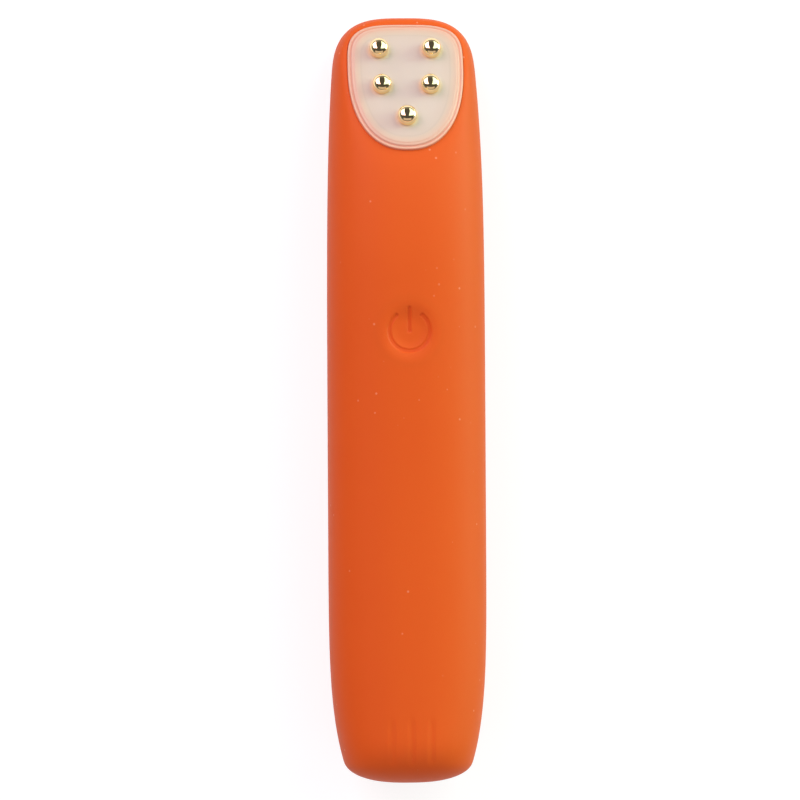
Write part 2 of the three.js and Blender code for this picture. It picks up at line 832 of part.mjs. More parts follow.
// Flat ribbon from the light board over the motor to the connector on the main board
function headRibbon() {
  const boardEdge = ledBoardTop + ledBoardThickness / 2;
  const edgeDrop = windowLength - ledBoardInset + clearance;
  const start = [
    windowTop - edgeDrop * Math.cos(facetTilt) - boardEdge * Math.sin(facetTilt),
    facetTipHeight + edgeDrop * Math.sin(facetTilt) - boardEdge * Math.cos(facetTilt),
  ];
  const overWeight = motorHeight + weightRadius + ribbonRise;
  const overBoot = motorHeight + bootRadius + ribbonRise;
  const end = boardFront - connectorEdge + clearance;
  const landing = boardTop + clearance + connectorHeight / 2;
  const line = new THREE.SplineCurve([
    new THREE.Vector2(start[0], start[1]),
    new THREE.Vector2(weightFront - weightLength / 3, Math.max(overWeight, start[1] + ribbonThickness)),
    new THREE.Vector2(motorFront - shaftStick * 2, overBoot),
    new THREE.Vector2((motorFront + motorBack) / 2, overBoot + ribbonThickness),
    new THREE.Vector2(motorBack, overBoot),
    new THREE.Vector2((motorBack + end) / 2, (overBoot + landing) / 2 + ribbonThickness),
    new THREE.Vector2(end + clearance * 3, landing),
    new THREE.Vector2(end, landing),
  ]);
  const upper = [];
  const lower = [];
  for (let step = 0; step <= wireSteps * 2; step += 1) {
    const share = step / (wireSteps * 2);
    const point = line.getPointAt(share);
    const tangent = line.getTangentAt(share);
    const side = [-tangent.y * ribbonThickness / 2, tangent.x * ribbonThickness / 2];
    upper.push([point.x - side[0], point.y - side[1]]);
    lower.push([point.x + side[0], point.y + side[1]]);
  }
  return carriedAcross([...upper, ...lower.reverse()].reverse(), ribbonWidth);
}

// Charging pin: a pad flush in the back, a shank up to the board and a collar over the shell's floor
function chargePin() {
  const collar = cavityInset + clearance;
  return turned([
    [0, pinPadRecess],
    [pinPadRadius, pinPadRecess],
    [pinPadRadius, pinPadRecess + pinPadHeight],
    [pinRadius, pinPadRecess + pinPadHeight],
    [pinRadius, collar],
    [pinCollarRadius, collar],
    [pinCollarRadius, collar + pinCollarHeight],
    [pinRadius, collar + pinCollarHeight],
    [pinRadius, boardUnder - clearance],
    [0, boardUnder - clearance],
  ], smallSides);
}

// Foam strip between the battery and the front shell
function batteryPad() {
  const low = batteryHeight + batteryRadius + clearance;
  const y = (batteryFront + batteryBack) / 2;
  return block(batteryPadWidth, batteryPadLength, ceiling - batteryPadSpare - low - clearance, 0, y, low);
}

// Outside of the handle
addPart('silicone_sleeve', sleeve(), siliconeOrange);
addPart('button_pad', buttonPad(), siliconeOrange);
addPart('front_shell', frontShell(), whitePlastic);
addPart('back_shell', backShell(), whitePlastic);

// Head
addPart('head_window', headWindow(), milkyPlastic, head);
addPart('window_gasket', windowGasket(), paleRubber, head);
const ledBoard = extruded(windowOutline(ledBoardInset), -ledBoardUnder, -ledBoardTop, 1);
addPart('led_board', ledBoard, boardGreen, head);
beadPlaces().forEach(([x, y], place) => {
  addPart(`massage_bead_${place + 1}`, massageBead().translate(x, y, 0), goldPlate, head);
});
lampPlaces().forEach(([x, y], place) => {
  const lamp = block(ledLength, ledWidth, ledHeight, x, y, clearance - ledBoardTop);
  addPart(`head_led_${place + 1}`, lamp, ledYellow, head);
});
addPart('head_ribbon', headRibbon(), paleRubber);

// Screws
shellScrewPlaces().forEach(([x, y], place) => {
  const screw = crossScrew(shellScrewHeadRadius, shellScrewHead, shellScrewRadius, shellScrewRise);
  const geometry = geometryOf(screw).translate(x, y, shellScrewSeat - clearance);
  addPart(`shell_screw_${place + 1}`, geometry, bareSteel);
});
boardScrewPlaces().forEach(([x, y], place) => {
  const rise = boardScrewRise + boardThickness;
  const screw = crossScrew(boardScrewHeadRadius, boardScrewHead, boardScrewRadius, rise);
  const geometry = geometryOf(screw).translate(x, y, boardUnder - clearance);
  addPart(`board_screw_${place + 1}`, geometry, bareSteel);
});

// Button train and main board
const boardSeat = boardTop + clearance;
addPart('button_actuator', actuator().translate(0, buttonPlace, 0), whitePlastic);
addPart('switch_body', switchBody(), chipBlack);
addPart('switch_plunger', switchPlunger(), bareSteel);
addPart('main_board', mainBoard(), boardGreen);
addPart('controller_chip', block(
  controllerSize, controllerSize, controllerHeight, -chipSpread, buttonPlace - chipBack, boardSeat,
), chipBlack);
addPart('charge_chip', block(
  chargeChipSize, chargeChipSize, chargeChipHeight, chipSpread, buttonPlace - chipBack, boardSeat,
), chipBlack);
addPart('boost_coil', uprightRod(
  coilRadius, boardSeat, boardSeat + coilHeight, 0, buttonPlace - coilBack, smallSides,
), chipBlack);
addPart('ribbon_connector', block(
  connectorWidth, connectorLength, connectorHeight,
  0, boardFront - connectorEdge - connectorLength / 2, boardSeat,
), whitePlastic);
[-1, 1].forEach((side, place) => {
  addPart(`charge_pin_${place + 1}`, chargePin().translate(side * pinSpread, pinPlace, 0), goldPlate);
});

// Battery
const tabSpan = batteryRadius + tabWidth / 2;
const sideLead = batteryRadius + clearance + leadRadius * 2;
addPart('battery_cell', lengthwiseRod(
  batteryRadius, batteryBack, batteryFront, 0, batteryHeight, roundSides,
), cellBlue);
addPart('battery_pad', batteryPad(), foamGrey);
addPart('battery_tab_front', block(
  tabWidth, tabThickness, batteryRadius, 0, batteryFront + clearance + tabThickness / 2,
  batteryHeight - batteryRadius / 2,
), nickel);
addPart('battery_tab_rear', block(
  tabSpan, tabThickness, tabWidth, (tabSpan - tabWidth) / 2,
  batteryBack - clearance - tabThickness / 2, batteryHeight - tabWidth / 2,
), nickel);
const frontTabFace = batteryFront + clearance + tabThickness;
const leadLanding = boardUnder - clearance;
const leadFoot = boardBack + boardPostEdge / 2;
addPart('battery_lead_front', wire(leadRadius, [
  [-tabWidth / 3, frontTabFace + clearance, batteryHeight],
  [-tabWidth / 2, (frontTabFace + leadFoot) / 2, batteryHeight - leadRadius],
  [-tabWidth * 2 / 3, leadFoot, leadLanding],
]), blackWire);
addPart('battery_lead_rear', wire(leadRadius, [
  [sideLead - leadRadius, batteryBack - clearance, batteryHeight],
  [sideLead, batteryBack + tabWidth / 2, batteryHeight],
  [sideLead, (batteryFront + batteryBack) / 2, batteryHeight],
  [sideLead, batteryFront - tabWidth / 2, batteryHeight],
  [sideLead, batteryFront + clearance, batteryHeight],
  [tabWidth * 2, frontTabFace + leadRadius * 3, batteryHeight - leadRadius],
  [boardScrewSpread / 2, leadFoot, leadLanding],
]), redWire);

// Motor
addPart('motor_can', motorCan(), brightAlloy);
addPart('motor_end_cap', lengthwiseRod(
  endCapRadius, endCapBack, endCapFront, 0, motorHeight, roundSides,
), whitePlastic);
addPart('motor_boot', motorBoot(), darkRubber);
addPart('motor_shaft', lengthwiseRod(
  shaftRadius, motorFront - motorBoreDepth + clearance, shaftEnd, 0, motorHeight, smallSides,
), bareSteel);
addPart('eccentric_weight', eccentricWeight(), bareSteel);
[-1, 1].forEach((side, place) => {
  const x = side * motorLeadSpread;
  addPart(`motor_lead_${place + 1}`, wire(leadRadius, [
    [x, endCapBack - clearance, motorHeight],
    [x, (endCapBack + boardFront) / 2, motorHeight - leadRadius],
    [x, boardFront - leadRadius, (motorHeight + leadLanding) / 2],
    [x, boardFront - boardPostEdge, leadLanding],
  ]), side < 0 ? blackWire : redWire);
});

export default massager;
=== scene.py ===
import json
import math

import bpy
import numpy as np
from mathutils import Matrix, Vector


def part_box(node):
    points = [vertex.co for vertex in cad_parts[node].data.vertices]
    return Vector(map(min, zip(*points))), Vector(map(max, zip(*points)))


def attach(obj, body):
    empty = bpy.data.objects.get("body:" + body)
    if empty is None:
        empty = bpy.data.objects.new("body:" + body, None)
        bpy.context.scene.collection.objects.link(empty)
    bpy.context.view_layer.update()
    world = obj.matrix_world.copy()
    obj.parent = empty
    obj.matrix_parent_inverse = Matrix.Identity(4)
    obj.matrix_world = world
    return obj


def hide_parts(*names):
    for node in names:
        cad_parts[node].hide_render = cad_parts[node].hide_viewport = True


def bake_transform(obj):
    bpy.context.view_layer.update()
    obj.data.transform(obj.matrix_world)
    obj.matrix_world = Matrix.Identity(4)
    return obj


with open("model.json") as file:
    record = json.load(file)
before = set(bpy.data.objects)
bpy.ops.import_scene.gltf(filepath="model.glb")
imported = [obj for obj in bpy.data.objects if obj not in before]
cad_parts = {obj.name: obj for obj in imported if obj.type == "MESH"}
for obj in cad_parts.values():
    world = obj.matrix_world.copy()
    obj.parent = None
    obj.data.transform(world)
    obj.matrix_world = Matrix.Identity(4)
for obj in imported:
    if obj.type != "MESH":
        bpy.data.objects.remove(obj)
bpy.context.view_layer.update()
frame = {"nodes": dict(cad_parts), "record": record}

# Silicone sleeve: one soft moulding with a 2 mm wall, pulled over the shells and closed at both ends.
# It is open at the window, the button and the two charging pins. Its skin is a superellipse section
# carried along the handle, levelled softly by the slanted facet of the head. Sizes in millimetres.
MM = 0.001
sleeve_low, sleeve_high = (np.array(corner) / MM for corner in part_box("silicone_sleeve"))
half_length = (sleeve_high[1] - sleeve_low[1]) / 2
handle_width = sleeve_high[0] - sleeve_low[0]
handle_depth = sleeve_high[2] - sleeve_low[2]

WIDEST_PLACE = -20
HEAD_TAPER = 2.3
TAIL_TAPER = 3.9
TAPER_POWER = 5
HEAD_CORNER = 11
HEAD_CORNER_POWER = 3.2
TAIL_CORNER = 4
TAIL_CORNER_POWER = 2.5
CORNER_KEEP_SHARE = 0.5
FRONT_FALL_START = 22
FRONT_FALL_REACH = 22
FRONT_FALL = 1.8
HEAD_END_CURVE = 12
TAIL_END_CURVE = 9
END_CURVE_POWER = 2.5
BACK_FLAT_CUT = 0.6
SEAM_HEIGHT_SHARE = 0.48
SECTION_POWER = 2.6
FACET_SOFTENING = 2
WINDOW_LENGTH = 25.6
WINDOW_MARGIN = 1.5
HEAD_RIM = 1.6
FACET_DROP_SHARE = 0.4411
SLEEVE_WALL = 2
FACET_LIP = 3
CREASE_SOFTNESS = 1.1
FLAT_SOFTNESS = 0.2

facet_tilt = math.asin(FACET_DROP_SHARE * handle_depth / WINDOW_LENGTH)
window_top = half_length - HEAD_RIM
facet_start = window_top - WINDOW_LENGTH * math.cos(facet_tilt) - WINDOW_MARGIN


def closing(distance, reach, power):
    """Nothing at an end and one past the curve's reach, with a superellipse quarter in between."""
    left = np.clip(1 - distance / reach, 0, 1)
    return (1 - left**power) ** (1 / power)


def signed_power(value, power):
    """A power of the size of a number, with its sign kept."""
    return np.sign(value) * np.abs(value) ** power


def front_height(y):
    """Height of the front without the facet: level, then an arc, then its straight tangent."""
    along = np.clip((y - FRONT_FALL_START) / FRONT_FALL_REACH, 0, None)
    return handle_depth - FRONT_FALL * np.where(along <= 1, along**2, 2 * along - 1)


def facet_height(y):
    """Height of the slanted facet's plane, which meets the front at the facet's lower edge."""
    return front_height(facet_start) - (y - facet_start) * math.tan(facet_tilt)


def seam_height(y):
    """Height of the widest line of the sides: a share of the lower of front and facet."""
    front, facet = front_height(y), facet_height(y)
    lower = (front + facet - np.hypot(front - facet, FACET_SOFTENING)) / 2
    return SEAM_HEIGHT_SHARE * np.minimum(lower, handle_depth)


def half_width(y, inset):
    """Half width: full, less a slow taper towards each end, closed by a superellipse corner."""
    headward = y > WIDEST_PLACE
    run = np.where(headward, half_length - WIDEST_PLACE, half_length + WIDEST_PLACE)
    most = np.where(headward, HEAD_TAPER, TAIL_TAPER)
    taper = most * (np.abs(y - WIDEST_PLACE) / run) ** TAPER_POWER
    keep = inset * CORNER_KEEP_SHARE
    at_head = closing(half_length - inset - y, HEAD_CORNER - keep, HEAD_CORNER_POWER)
    at_tail = closing(half_length - inset + y, TAIL_CORNER - keep, TAIL_CORNER_POWER)
    return (handle_width / 2 - inset - taper) * at_head * at_tail


def depth_opening(y, inset):
    """How far the front and the back have opened up from the two ends."""
    keep = inset * CORNER_KEEP_SHARE
    at_head = closing(half_length - inset - y, HEAD_END_CURVE - keep, END_CURVE_POWER)
    at_tail = closing(half_length - inset + y, TAIL_END_CURVE - keep, END_CURVE_POWER)
    return at_head * at_tail


def soft_min(first, second, softness):
    """The lower of two heights, with the crease between them rounded off."""
    return (first + second - np.hypot(first - second, softness)) / 2


def skin_height(y, upward, inset, facet_depth):
    """Height of the skin from the upward share of its section, levelled by the back and the facet."""
    seam = seam_height(y)
    reach = np.where(upward > 0, front_height(y) - inset - seam, seam + BACK_FLAT_CUT - inset)
    z = seam + reach * upward * depth_opening(y, inset)
    z = soft_min(z, facet_height(y) - facet_depth / math.cos(facet_tilt), CREASE_SOFTNESS)
    return -soft_min(-z, -inset, FLAT_SOFTNESS)


def skin(y, angle, inset, facet_depth):
    """Points of the skin by their place along the handle and their angle round its section."""
    x = half_width(y, inset) * signed_power(np.cos(angle), 2 / SECTION_POWER)
    z = skin_height(y, signed_power(np.sin(angle), 2 / SECTION_POWER), inset, facet_depth)
    return np.stack(np.broadcast_arrays(x, y, z), axis=-1)


def angle_of(x, y, inset, below):
    """The angle round the section at which the skin passes over or under a place in plan."""
    share = np.clip(x / half_width(y, inset), -1, 1)
    angle = np.arccos(signed_power(share, SECTION_POWER / 2))
    return 2 * math.pi - angle if below else angle


# Grid of the skin: rows follow the turn of the end curves, and columns lie close on the crown.
TAIL_ROWS = 28
HEAD_ROWS = 36
MIDDLE_ROWS = 140
END_ROWS_POWER = 1.2
CROWN_COLUMNS = 88
SIDE_COLUMNS = 26
BACK_COLUMNS = 36
SIDE_COLUMNS_POWER = 1.25
CROWN_SHARE = 0.6


def row_places():
    """Places from tail to head: even in the middle, by the turn of the end curves at the ends."""
    tail_turn = (np.arange(1, TAIL_ROWS) / TAIL_ROWS) ** END_ROWS_POWER * math.pi / 2
    head_turn = (np.arange(HEAD_ROWS - 1, 0, -1) / HEAD_ROWS) ** END_ROWS_POWER * math.pi / 2
    tail = TAIL_END_CURVE * (1 - np.cos(tail_turn) ** (2 / END_CURVE_POWER)) - half_length
    head = half_length - HEAD_END_CURVE * (1 - np.cos(head_turn) ** (2 / END_CURVE_POWER))
    middle = np.linspace(TAIL_END_CURVE - half_length, half_length - HEAD_END_CURVE, MIDDLE_ROWS)
    return np.concatenate([tail, middle, head])


def column_angles():
    """Angles once round from the right side: even steps over the crown and under the back."""
    edge = math.acos(CROWN_SHARE ** (SECTION_POWER / 2))
    side = edge * (np.arange(SIDE_COLUMNS) / SIDE_COLUMNS) ** SIDE_COLUMNS_POWER
    mirrored = math.pi - side[1:][::-1]
    crown = np.linspace(CROWN_SHARE, -CROWN_SHARE, CROWN_COLUMNS + 1)
    back = np.linspace(-CROWN_SHARE, CROWN_SHARE, BACK_COLUMNS + 1)
    over = np.arccos(signed_power(crown, SECTION_POWER / 2))
    under = 2 * math.pi - np.arccos(signed_power(back, SECTION_POWER / 2))
    return np.concatenate([side, over, mirrored, math.pi + side, under, math.pi + mirrored])


# Grip grooves: three shallow hollows near the tail, with round ends.
GROOVE_PLACES = (-3.6, 0, 3.6)
GROOVE_START = -65.4
GROOVE_END = -58.6
GROOVE_HALF = 0.85
GROOVE_DEPTH = 0.13


def groove_sink(x, y):
    """Depth of the grooves: a smooth hollow by the distance to each groove's middle line."""
    beyond = y - np.clip(y, GROOVE_START, GROOVE_END)
    sink = np.zeros_like(x)
    for place in GROOVE_PLACES:
        share = np.clip(np.hypot(x - place, beyond) / GROOVE_HALF, 0, 1)
        sink = np.maximum(sink, GROOVE_DEPTH * (1 - share**2) ** 2)
    return sink


# Openings: window, button and charging pins, as dense closed lines in plan.
OUTLINE_POINTS = 1200
WINDOW_TOP_CORNER = 8.4
WINDOW_TOP_POWER = 3.5
WINDOW_BOTTOM_CURVE = 16.8
WINDOW_BOTTOM_POWER = 2.3
WINDOW_SIDE_RIM = 3.85
WINDOW_CLEARANCE = 0.03
LIP_FILLET = 0.1
SEAT_DEPTH = 2.05
SEAT_INSET = 0.6
BUTTON_FROM_HEAD = 57.7
BUTTON_PLACE = half_length - BUTTON_FROM_HEAD
MEMBRANE_RADIUS = 6.2
PIN_SPREAD = 3.2
PIN_HOLE_RADIUS = 2
PIN_FILLET = 0.2
FILLET_STEPS = 4

window_half = handle_width / 2 - WINDOW_SIDE_RIM
facet_frame = Matrix.Translation((0, window_top, float(facet_height(window_top))))
facet_frame = np.array(facet_frame @ Matrix.Rotation(-facet_tilt, 4, "X"))


def on_facet(plan, height):
    """Points over the facet's plane from their places on it and their heights along its normal."""
    height = np.broadcast_to(height, plan.shape[:-1])
    local = np.concatenate([plan, height[..., None]], axis=-1)
    return local @ facet_frame[:3, :3].T + facet_frame[:3, 3]


def window_outline(inset):
    """The window's edge on the facet: superellipse corners at the top, a superellipse bowl below."""
    turn = np.linspace(0, math.pi / 2, OUTLINE_POINTS)
    half = window_half - inset
    top_x = half * np.sin(turn) ** (2 / WINDOW_TOP_POWER)
    top_y = (WINDOW_TOP_CORNER - inset) * (np.cos(turn) ** (2 / WINDOW_TOP_POWER) - 1) - inset
    low_x = half * np.abs(np.cos(turn)) ** (2 / WINDOW_BOTTOM_POWER)
    low_fall = 1 - np.sin(turn) ** (2 / WINDOW_BOTTOM_POWER)
    low_y = (WINDOW_BOTTOM_CURVE - inset) * low_fall - (WINDOW_LENGTH - inset)
    right = np.stack([np.append(top_x, low_x), np.append(top_y, low_y)], axis=-1)
    return np.concatenate([right, right[-2:0:-1] * [-1, 1]])


def round_outline(x, y, radius, below):
    """A circle that runs clockwise as seen from outside the skin, from its head-side point."""
    turn = np.linspace(0, 2 * math.pi, OUTLINE_POINTS, endpoint=False)
    side = -1 if below else 1
    return np.stack([x + side * radius * np.sin(turn), y + radius * np.cos(turn)], axis=-1)


def at_places(outline, places):
    """Points of a closed dense line at fractional counts along it."""
    closed = np.concatenate([outline, outline[:1]])
    counts = np.arange(len(closed))
    return np.stack([np.interp(places, counts, closed[:, axis]) for axis in (0, 1)], axis=-1)


def block_border(rows, columns):
    """Row and column numbers once round a block of cells, tail edge first."""
    across = np.arange(columns[0], columns[1])
    along = np.arange(rows[0], rows[1])
    row = [np.full(len(across), rows[0]), along]
    row += [np.full(len(across), rows[1]), along[::-1] + 1]
    column = [across, np.full(len(along), columns[1])]
    column += [across[::-1] + 1, np.full(len(along), columns[0])]
    return np.concatenate(row), np.concatenate(column)


def facing_places(outline, outline_angle, border_y, border_angle):
    """Places along an outline that face each border point from the middle of the block."""
    middle = [(side.min() + side.max()) / 2 for side in (border_angle, border_y)]
    reach = [np.ptp(border_angle) / 2, np.ptp(border_y) / 2]

    def turns(angle, y):
        """Angles round the middle of the block, counted on past a full turn."""
        return np.unwrap(np.arctan2((y - middle[1]) / reach[1], (angle - middle[0]) / reach[0]))

    lap = turns(np.append(outline_angle, outline_angle[0]), np.append(outline[:, 1], outline[0, 1]))
    wanted = turns(border_angle, border_y)
    count = len(outline)
    laps = np.concatenate([lap[:-1] - 2 * math.pi, lap])
    counts = np.concatenate([np.arange(-count, 0), np.arange(count + 1)])
    return np.interp(wanted, laps, counts) % count


def put_mesh(name, points, faces, sharp_angle=40):
    """A smooth-shaded object at the origin from points in millimetres; edges past an angle are sharp."""
    mesh = bpy.data.meshes.new(name)
    mesh.from_pydata((np.asarray(points) * MM).tolist(), [], faces)
    mesh.validate()
    mesh.shade_smooth()
    mesh.set_sharp_from_angle(angle=math.radians(sharp_angle))
    piece = bpy.data.objects.new(name, mesh)
    bpy.context.scene.collection.objects.link(piece)
    return piece


def between_rings(outer, inner):
    """Four-sided faces between two closed rings of point numbers."""
    after_outer, after_inner = np.roll(outer, -1), np.roll(inner, -1)
    return np.stack([inner, after_inner, after_outer, outer], axis=-1)


def close_up(first_pole, rings, last_pole):
    """Points and faces of a closed piece: a fan at each pole and cells between its rings of points.

    The rings run anticlockwise as seen from the last pole, so that all faces point outwards."""
    count = len(rings[0])
    numbers = [1 + ring * count + np.arange(count) for ring in range(len(rings))]
    cells = np.concatenate([between_rings(far, near) for near, far in zip(numbers, numbers[1:])])
    last = np.full(count, 1 + len(rings) * count)
    low = np.stack([np.zeros(count, int), np.roll(numbers[0], -1), numbers[0]], axis=-1)
    high = np.stack([numbers[-1], np.roll(numbers[-1], -1), last], axis=-1)
    points = np.concatenate([first_pole, *rings, last_pole])
    return points, cells.tolist() + low.tolist() + high.tolist()


def fillet_steps(radius):
    """Outset and sink of each step of a rounded edge, over a quarter of a turn."""
    for step in range(FILLET_STEPS + 1):
        turn = step / FILLET_STEPS * math.pi / 2
        yield radius * (1 - math.sin(turn)), radius * (1 - math.cos(turn))


# Round each opening a block of grid cells gives way to rings of cells that follow its rim.
RIM_RINGS = 12
RIM_RINGS_POWER = 1.6
WINDOW_BLOCK_LOW = 42.6
WINDOW_BLOCK_TOP = 69.55
WINDOW_BLOCK_ANGLE = math.radians(17)
BUTTON_BLOCK_REACH = 7.9
BUTTON_BLOCK_ANGLE = math.radians(61.5)
PIN_BLOCK_REACH = 3.4
PIN_BLOCK_SIDE = 6.1
ANGLE_SLACK = 1e-6


def build_sleeve():
    """The outer and inner skins on one grid, with rings of faces through each opening's wall."""
    rows, columns = row_places(), column_angles()
    row_count, column_count = len(rows), len(columns)
    inner_rows = rows * (half_length - SLEEVE_WALL) / half_length
    outer = skin(rows[:, None], columns[None, :], 0, 0)
    outer[..., 2] -= groove_sink(outer[..., 0], outer[..., 1]) * (np.sin(columns) > 0)
    inner = skin(inner_rows[:, None], columns[None, :], SLEEVE_WALL, FACET_LIP)
    points = [outer.reshape(-1, 3), inner.reshape(-1, 3)]
    inner_start = row_count * column_count
    used = 2 * inner_start
    left_out = np.zeros((row_count - 1, column_count), bool)
    faces = []

    def add_ring(ring):
        """The numbers that the points of a new ring get."""
        nonlocal used
        points.append(ring)
        used += len(ring)
        return np.arange(used - len(ring), used)

    def open_hole(row_range, column_range, rims, below):
        """Rings from the outer border over the rims of an opening to the inner border.

        rims lists closed dense lines in plan with a function that gives each its points in space;
        the first lies on the outer skin and the last on the inner one."""
        border_row, border_column = block_border(row_range, column_range)
        left_out[row_range[0]:row_range[1], column_range[0]:column_range[1]] = True
        sides = [(rows, 0, 0), (inner_rows, SLEEVE_WALL, FACET_LIP)]
        outline, lift = rims[0]
        first = lift(outline)
        first_angle = angle_of(first[:, 0], first[:, 1], 0, below)
        places = facing_places(first[:, :2], first_angle, rows[border_row], columns[border_column])
        chain = [border_row * column_count + border_column]
        rim_points = [lift(at_places(line, places)) for line, lift in rims]
        for side, rim in ((0, rim_points[0]), (1, rim_points[-1])):
            places_along, inset, facet_depth = sides[side]
            border_y, border_angle = places_along[border_row], columns[border_column]
            rim_angle = angle_of(rim[:, 0], rim[:, 1], inset, below)
            shares = (np.arange(RIM_RINGS - 1, -1, -1) / RIM_RINGS) ** RIM_RINGS_POWER
            if side:
                chain += [add_ring(middle) for middle in rim_points[1:-1]]
                shares = shares[::-1]
            for share in shares:
                y = rim[:, 1] + (border_y - rim[:, 1]) * share
                angle = rim_angle + (border_angle - rim_angle) * share
                chain.append(add_ring(skin(y, angle, inset, facet_depth)))
        chain.append(inner_start + border_row * column_count + border_column)
        for near, far in zip(chain, chain[1:]):
            faces.append(between_rings(near, far))
        return rim_points[0]

    def crown_block(low, high, angle):
        """Row and column numbers of a block on the crown, between two places and two like angles."""
        first, last = np.searchsorted(columns, [angle, math.pi - angle])
        return np.searchsorted(rows, [low, high]), (first, last - 1)

    # Window: a rounded lip, a straight wall and a narrower seat under the pane
    rims = [
        (window_outline(-WINDOW_CLEARANCE - outset), lip_at(sink))
        for outset, sink in fillet_steps(LIP_FILLET)
    ]
    rims.append((window_outline(-WINDOW_CLEARANCE), lip_at(SEAT_DEPTH)))
    rims.append((window_outline(SEAT_INSET), inner_lip))
    block = crown_block(WINDOW_BLOCK_LOW, WINDOW_BLOCK_TOP, WINDOW_BLOCK_ANGLE)
    open_hole(*block, rims, False)

    # Button: the membrane's edge, straight down
    low, high = BUTTON_PLACE - BUTTON_BLOCK_REACH, BUTTON_PLACE + BUTTON_BLOCK_REACH
    circle = round_outline(0, BUTTON_PLACE, MEMBRANE_RADIUS, False)
    rims = [(circle, on_outer), (circle, on_inner)]
    button_rim = open_hole(*crown_block(low, high, BUTTON_BLOCK_ANGLE), rims, False)

    # Charging pins: two round holes through the flat back
    pin_rows = np.searchsorted(rows, [-PIN_BLOCK_REACH, PIN_BLOCK_REACH])
    middle = np.searchsorted(columns, 1.5 * math.pi - ANGLE_SLACK)
    for side in (-1, 1):
        far_angle = angle_of(np.float64(side * PIN_BLOCK_SIDE), np.float64(0), 0, True)
        far = np.searchsorted(columns, far_angle)
        rims = []
        for outset, sink in fillet_steps(PIN_FILLET):
            circle = round_outline(side * PIN_SPREAD, 0, PIN_HOLE_RADIUS + outset, True)
            rims.append((circle, under_at(sink)))
        rims.append((circle, under_inner))
        open_hole(pin_rows, (middle, far) if side > 0 else (far, middle), rims, True)

    # The grid cells that stay, and the two closed ends of each skin
    row, column = np.nonzero(~left_out)
    after = (column + 1) % column_count
    cells = np.stack([
        row * column_count + column, (row + 1) * column_count + column,
        (row + 1) * column_count + after, row * column_count + after,
    ], axis=-1)
    faces += [cells, cells[:, ::-1] + inner_start]
    triangles = []
    around = np.arange(column_count)
    for start, grid, reach, turned in (
        (0, outer, half_length, False), (inner_start, inner, half_length - SLEEVE_WALL, True),
    ):
        for last_ring, sign in ((0, -1), (row_count - 1, 1)):
            pole = add_ring(np.array([[0, sign * reach, grid[last_ring][:, 2].mean()]]))
            ring = start + last_ring * column_count + around
            fan = np.stack([ring, np.roll(ring, -1), np.full(column_count, pole[0])], axis=-1)
            triangles.append(fan[:, ::-1] if (sign > 0) != turned else fan)
    all_faces = np.concatenate(faces).tolist() + np.concatenate(triangles).tolist()
    return np.concatenate(points), all_faces, button_rim


def on_skin(plan, inset, facet_depth, below):
    """Plan places put on the skin over or under them."""
    angle = angle_of(plan[:, 0], plan[:, 1], inset, below)
    return skin(plan[:, 1], angle, inset, facet_depth)


def on_outer(plan):
    """Plan places put on the outer skin over them."""
    return on_skin(plan, 0, 0, False)


def on_inner(plan):
    """Plan places put on the inner skin over them."""
    return on_skin(plan, SLEEVE_WALL, FACET_LIP, False)


def under_inner(plan):
    """Plan places put on the inner skin under them."""
    return on_skin(plan, SLEEVE_WALL, FACET_LIP, True)


def under_at(sink):
    """Plan places under the back, sunk into it."""
    return lambda plan: on_skin(plan, 0, 0, True) + [0, 0, sink]


def lip_at(sink):
    """Places round the window, on the outer skin and sunk along the facet's normal."""
    def lift(plan):
        """Places on the facet's plane carried up to the skin over them, then sunk."""
        flat = on_facet(plan, 0)
        on_top = on_skin(flat[:, :2], 0, 0, False)
        return on_top - facet_frame[:3, 2] * sink
    return lift


def inner_lip(plan):
    """Places round the window's seat, on the inner skin."""
    flat = on_facet(plan, -FACET_LIP)
    return on_skin(flat[:, :2], SLEEVE_WALL, FACET_LIP, False)


sleeve_points, sleeve_faces, membrane_edge = build_sleeve()
sleeve = put_mesh("sleeve_skin", sleeve_points, sleeve_faces)
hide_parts("silicone_sleeve")
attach(sleeve, "handle")


# Silicone finish: matt orange rubber with a silky bloom, a fine moulded grain and a little dust.
# The colour sits under a soft glow of light carried a short way through the rubber.
SILICONE_TONES = ((224, 89, 15), (228, 94, 19))
SILICONE_ROUGHNESS = (0.5, 0.62)
# Painted shade: the sunk strokes of the power sign take a deeper orange that stands for the shade in them.
SIGN_SHADE_TONE = (222, 82, 9)
DUST_TONE = (246, 170, 130)
DUST_STRENGTH = 0.45
SPECK_EDGE = (0.06, 0.11)
DUSTY_PATCH = (0.5, 0.58)


